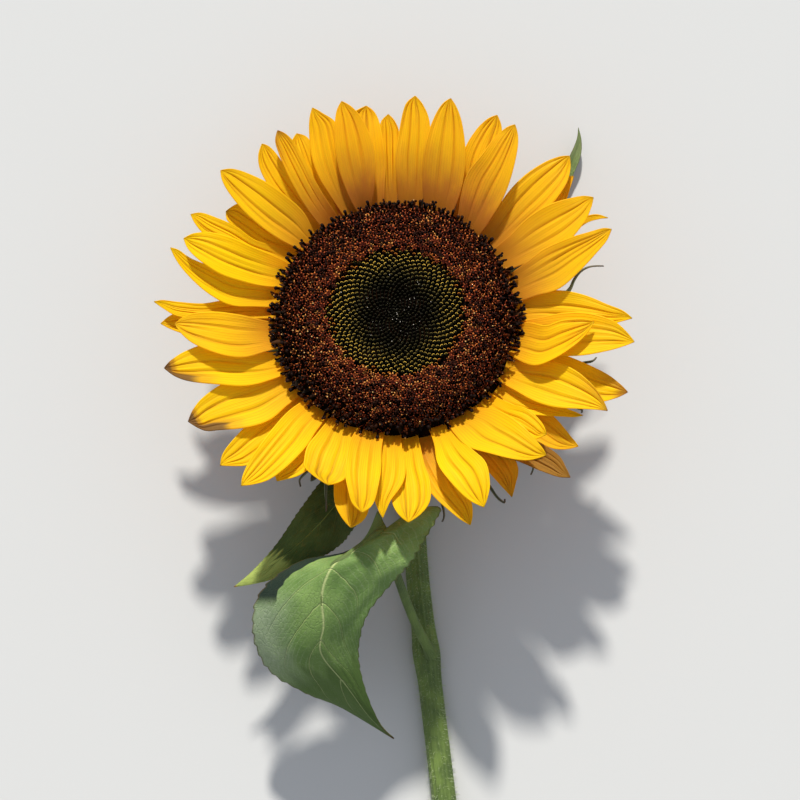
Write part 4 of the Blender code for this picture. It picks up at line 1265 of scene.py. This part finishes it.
def tubeMesh(name, rings, sides, ridges=0, ridgeDepth=0.0):
    # a round stalk drawn out ring by ring; its map runs along it and round it
    work = bmesh.new()
    layer = work.loops.layers.uv.new("blade")
    circle = bmesh.ops.create_circle(work, segments=sides, radius=1.0)["verts"]
    numbers = {vert: number for number, vert in enumerate(circle)}
    edges = list(work.edges)
    side = rings[0][1].orthogonal().normalized()
    travelled = 0.0
    for count, (point, ahead, radius, part) in enumerate(rings):
        if count:
            spots = {vert.co[:]: number for vert, number in numbers.items()}
            grown = bmesh.ops.extrude_edge_only(work, edges=edges)["geom"]
            edges = [g for g in grown if isinstance(g, bmesh.types.BMEdge)]
            numbers = {g: spots[g.co[:]] for g in grown if isinstance(g, bmesh.types.BMVert)}
            step = (point - rings[count - 1][0]).length
            for face in [g for g in grown if isinstance(g, bmesh.types.BMFace)]:
                face.material_index = part
                turns = [spots[loop.vert.co[:]] for loop in face.loops]
                seam = max(turns) - min(turns) > 1
                for loop, turn in zip(face.loops, turns):
                    turn += sides if seam and turn == 0 else 0
                    loop[layer].uv = (travelled + step * (loop.vert in numbers), turn / sides)
            travelled += step
        side = (side - ahead * side.dot(ahead)).normalized()
        fore = ahead.cross(side)
        for vert, number in numbers.items():
            angle = 2 * math.pi * number / sides
            wide = radius * (1 + ridgeDepth * math.cos(angle * ridges))
            vert.co = point + side * (math.cos(angle) * wide) + fore * (math.sin(angle) * wide)
    caps = bmesh.ops.holes_fill(work, edges=[e for e in work.edges if e.is_boundary], sides=0)["faces"]
    for face in caps:
        face.material_index = rings[-1][3]
    bmesh.ops.recalc_face_normals(work, faces=work.faces)
    return asMesh(work, name)


def stalkMaterial(name, light, dark, rib, hair):
    shade = Shade(name, Roughness=0.55, Specular_IOR_Level=0.3)
    flat = shade.flatPlace("blade")
    spot = shade.place()
    around = shade.axis(flat, 1)
    patches = shade.cloud(spot, 120.0, 4.0, 0.55)
    streaks = shade.cloud(shade.stretched(flat, (160.0, 30.0, 1.0)), 1.0, 3.0, 0.6)
    fuzz = shade.cloud(spot, 2300.0, 2.0, 0.6)
    ribs = ribbed(around, 113.1, streaks, 2.0, 2)
    colour = shade.blend(patches.rise(0.35, 0.66), dark, light)
    colour = shade.blend(ribs * 0.24, colour, rib)
    colour = shade.blend(streaks.rise(0.5, 0.75) * 0.3, colour, dark)
    colour = shade.blend(fuzz.rise(0.56, 0.8) * 0.35, colour, hair)
    shade.paint(colour)
    shade.relief(ribs * 0.6 + streaks * 0.4 + fuzz * 0.3, 0.25 * mm, 0.7)
    return shade.material


stalkGreen = stalkMaterial("stalkGreen", (0.120, 0.180, 0.036), (0.062, 0.100, 0.022), (0.16, 0.22, 0.06),
                           (0.28, 0.33, 0.16))


def makeLeaf(name, node, rows, stalk, radii, material, seed):
    s = leafSettings
    mesh = bentSheet(name + "Blade", s["stepsAlong"], s["stepsAcross"], leafPlace(rows, seed))
    blade = newPiece(name + "Blade", mesh, [material], (node,))
    thicken(blade, s["thickness"])
    line = [onGround(*point) for point in stalk]
    line += [onGround(*row[1]) - Vector((0, 0, 1.0 * mm)) for row in rows[1:-1]]
    joint = (len(stalk) - 1) / (len(line) - 1)
    first, last = radii

    def radiusAt(share):
        if share < joint:
            return mixed(first, last, share / joint) * mm * (1 + 0.5 * (1 - eased(share, 0, 0.05)))
        return mixed(last, 0.35, eased((share - joint) / (1 - joint))) * mm

    tube = tubeMesh(name + "Stalk", ringsAlong(line, radiusAt, 90), 14, 5, 0.06)
    newPiece(name + "Stalk", tube, [stalkGreen])


def makeLeaves():
    materials = [leafMaterial(name, **look) for name, look in leafLooks.items()]
    for number, (leaf, material) in enumerate(zip(leaves, materials), start=1):
        makeLeaf(*leaf, material, number)
    print("leaves made")


makeLeaves()


# Stem and neck, in one swept piece with its cut end

stemSettings = {
    "radiusTop": 3.7 * mm,
    "radiusFoot": 4.15 * mm,
    "length": 172.0 * mm,
    "nodeSwelling": 0.7 * mm,
    "nodeFromNeck": 92.0 * mm,
    "nodeReach": 6.0 * mm,
    "bow": 3.6 * mm,
    "bowLength": 75.0 * mm,
    "bendRadius": 16.0 * mm,
    "straight": 1.5 * mm,
    "neckRadius": 5.4 * mm,
    "sides": 72,
    "ridges": 12,
    "ridgeDepth": 0.028,
    "bendSteps": 24,
    "steps": 110,
    # Rings of the cut end: how far back in millimetres, share of the radius, and material
    "cut": ((0.0, 0.97, 1), (0.0, 0.80, 1), (0.35, 0.74, 1), (0.55, 0.4, 2), (0.45, 0.08, 2)),
}
hairSettings = {
    "count": 4200,
    "rings": ((0.05, 0.0), (0.032, 0.6), (0.006, 1.2)),
    "lengths": (0.8, 1.9),
    "fullTurn": 6.2832,
    "shelter": 0.9 * mm,  # none grows on the stem's underside lower than this
    "clearance": 0.1 * mm,  # none reaches the floor
    "colour": (0.44, 0.50, 0.30),
}


def stemRings():
    # rings of (place, way, radius, material) from the bloom's back round the bend to the cut end
    s = stemSettings
    turn = math.pi / 2 - tilt
    bend, radius, last = s["bendRadius"], s["neckRadius"], s["steps"]
    back = bloomCentre - faceAxis * flowerFrame["receptacleDepth"]
    bendStart = back - faceAxis * s["straight"]
    rings = [(back + faceAxis * 1.2 * mm, -faceAxis, radius * 1.25, 0), (back, -faceAxis, radius * 1.08, 0)]
    for i in range(s["bendSteps"] + 1):
        share = i / s["bendSteps"]
        angle = turn * (1 - share)
        ahead = bend * (math.sin(turn) - math.sin(angle))
        drop = bend * (math.cos(angle) - math.cos(turn))
        way = stemWay * math.cos(angle) - Vector((0, 0, 1)) * math.sin(angle)
        radius = mixed(s["neckRadius"], s["radiusTop"], eased(share))
        rings.append((bendStart + stemWay * ahead - Vector((0, 0, drop)), way, radius, 0))
    start = rings[-1][0] + stemWay * s["straight"]
    line, radii = [], []
    for i in range(last + 1):
        distance = mixed(0.4 * mm, s["length"], i / last)
        radius = mixed(s["radiusTop"], s["radiusFoot"], distance / s["length"])
        radius += s["nodeSwelling"] * bump(distance, s["nodeFromNeck"], s["nodeReach"])
        spot = start + stemWay * distance - stemSide * s["bow"] * eased(distance / s["bowLength"])
        line.append(Vector((spot.x, spot.y, radius)))
        radii.append(radius)
    for i, point in enumerate(line):
        way = (line[min(i + 1, last)] - line[max(i - 1, 0)]).normalized()
        rings.append((point, way, radii[i], 0))
    end, way, foot, _ = rings[-1]
    return rings + [(end - way * far * mm, way, foot * share, part) for far, share, part in s["cut"]]


def pithMaterial():
    shade = Shade("stemPith", Roughness=0.8)
    cells = shade.cells(shade.place(), 1400.0)
    patches = shade.cloud(shade.place(), 500.0)
    colour = shade.blend(cells.rise(0.1, 0.6), (0.62, 0.64, 0.48), (0.42, 0.46, 0.28))
    colour = shade.blend(patches.rise(0.5, 0.7) * 0.4, colour, (0.40, 0.34, 0.20))
    shade.paint(colour)
    shade.relief(cells, 0.3 * mm, 0.8)
    return shade.material


def makeHairs(rings):
    s = hairSettings
    luck = random.Random(21)
    hairs = Crowd()
    for _ in range(s["count"]):
        at = luck.uniform(0, len(rings) - 1.001)
        first = int(at)
        here, ahead = rings[first], rings[first + 1]
        point, radius = mixed(here[0], ahead[0], at - first), mixed(here[2], ahead[2], at - first)
        way = here[1]
        side = way.orthogonal().normalized()
        angle = luck.uniform(0, s["fullTurn"])
        out = side * math.cos(angle) + way.cross(side) * math.sin(angle)
        if point.z + out.z * radius < s["shelter"] and out.z < 0:
            continue
        up = (out + way * luck.uniform(-0.3, 0.6)).normalized()
        foot, length = point + out * radius * 0.97, luck.uniform(*s["lengths"])
        tip = foot + up * (s["rings"][-1][1] * mm * length)
        if tip.z > s["clearance"]:
            hairs.add(standing(foot, up, angle, 1.0, length))
    hair = plain("hairStemHairs", s["colour"], 0.5)
    strew("stemHairs", asArrays(ringShape(3, s["rings"])), hairs, [hair])


def makeStem():
    s = stemSettings
    rings = stemRings()
    mesh = tubeMesh("stem", rings, s["sides"], s["ridges"], s["ridgeDepth"])
    rind = stalkMaterial("stemRind", (0.22, 0.28, 0.11), (0.14, 0.19, 0.06), (0.30, 0.34, 0.16),
                         (0.36, 0.38, 0.22))
    newPiece("stemAndNeck", mesh, [stalkGreen, rind, pithMaterial()], ("stem", "neck"))
    makeHairs(rings[2:-len(s["cut"])])
    print("stem made")


makeStem()


# Stage

stageSettings = {
    "eye": (1.0, -26.4, 935.0),  # millimetres about the ground spot
    "lens": 122.7,
    "sensor": 36.0,
    "nearest": 0.01,
    "floorSize": 6.0,
    "floor": (0.51, 0.51, 0.50),
    "sunStrength": 5.6,
    "sunWidthDegrees": 3.5,
    "sunColour": (1.0, 0.97, 0.91),
    "sunFrom": (-0.05, 0.83, 0.555),
    "skyStrength": 0.60,
    "skyColour": (0.91, 0.97, 1.08, 1.0),
}


def makeFloor():
    s = stageSettings
    work = bmesh.new()
    bmesh.ops.create_grid(work, x_segments=1, y_segments=1, size=s["floorSize"])
    mesh = asMesh(work, "floor")
    mesh.materials.append(plain("floorPaint", s["floor"], 0.8))
    newObject("floor", mesh)


def makeStage():
    s = stageSettings
    scene = bpy.context.scene
    makeFloor()
    camera = newObject("camera", bpy.data.cameras.new("camera"))
    camera.data.lens = s["lens"]
    camera.data.sensor_width = s["sensor"]
    camera.data.clip_start = s["nearest"]
    camera.location = onGround(*s["eye"])
    scene.camera = camera
    sun = newObject("key", bpy.data.lights.new("key", "SUN"))
    sun.data.energy = s["sunStrength"]
    sun.data.angle = math.radians(s["sunWidthDegrees"])
    sun.data.color = s["sunColour"]
    sun.rotation_euler = Vector(s["sunFrom"]).to_track_quat("Z", "Y").to_euler()
    world = bpy.data.worlds.new("room")
    world.use_nodes = True
    sky = world.node_tree.nodes["Background"].inputs
    sky[0].default_value, sky[1].default_value = s["skyColour"], s["skyStrength"]
    scene.world = world
    scene.view_settings.view_transform = "Standard"
    print("stage made")


makeStage()
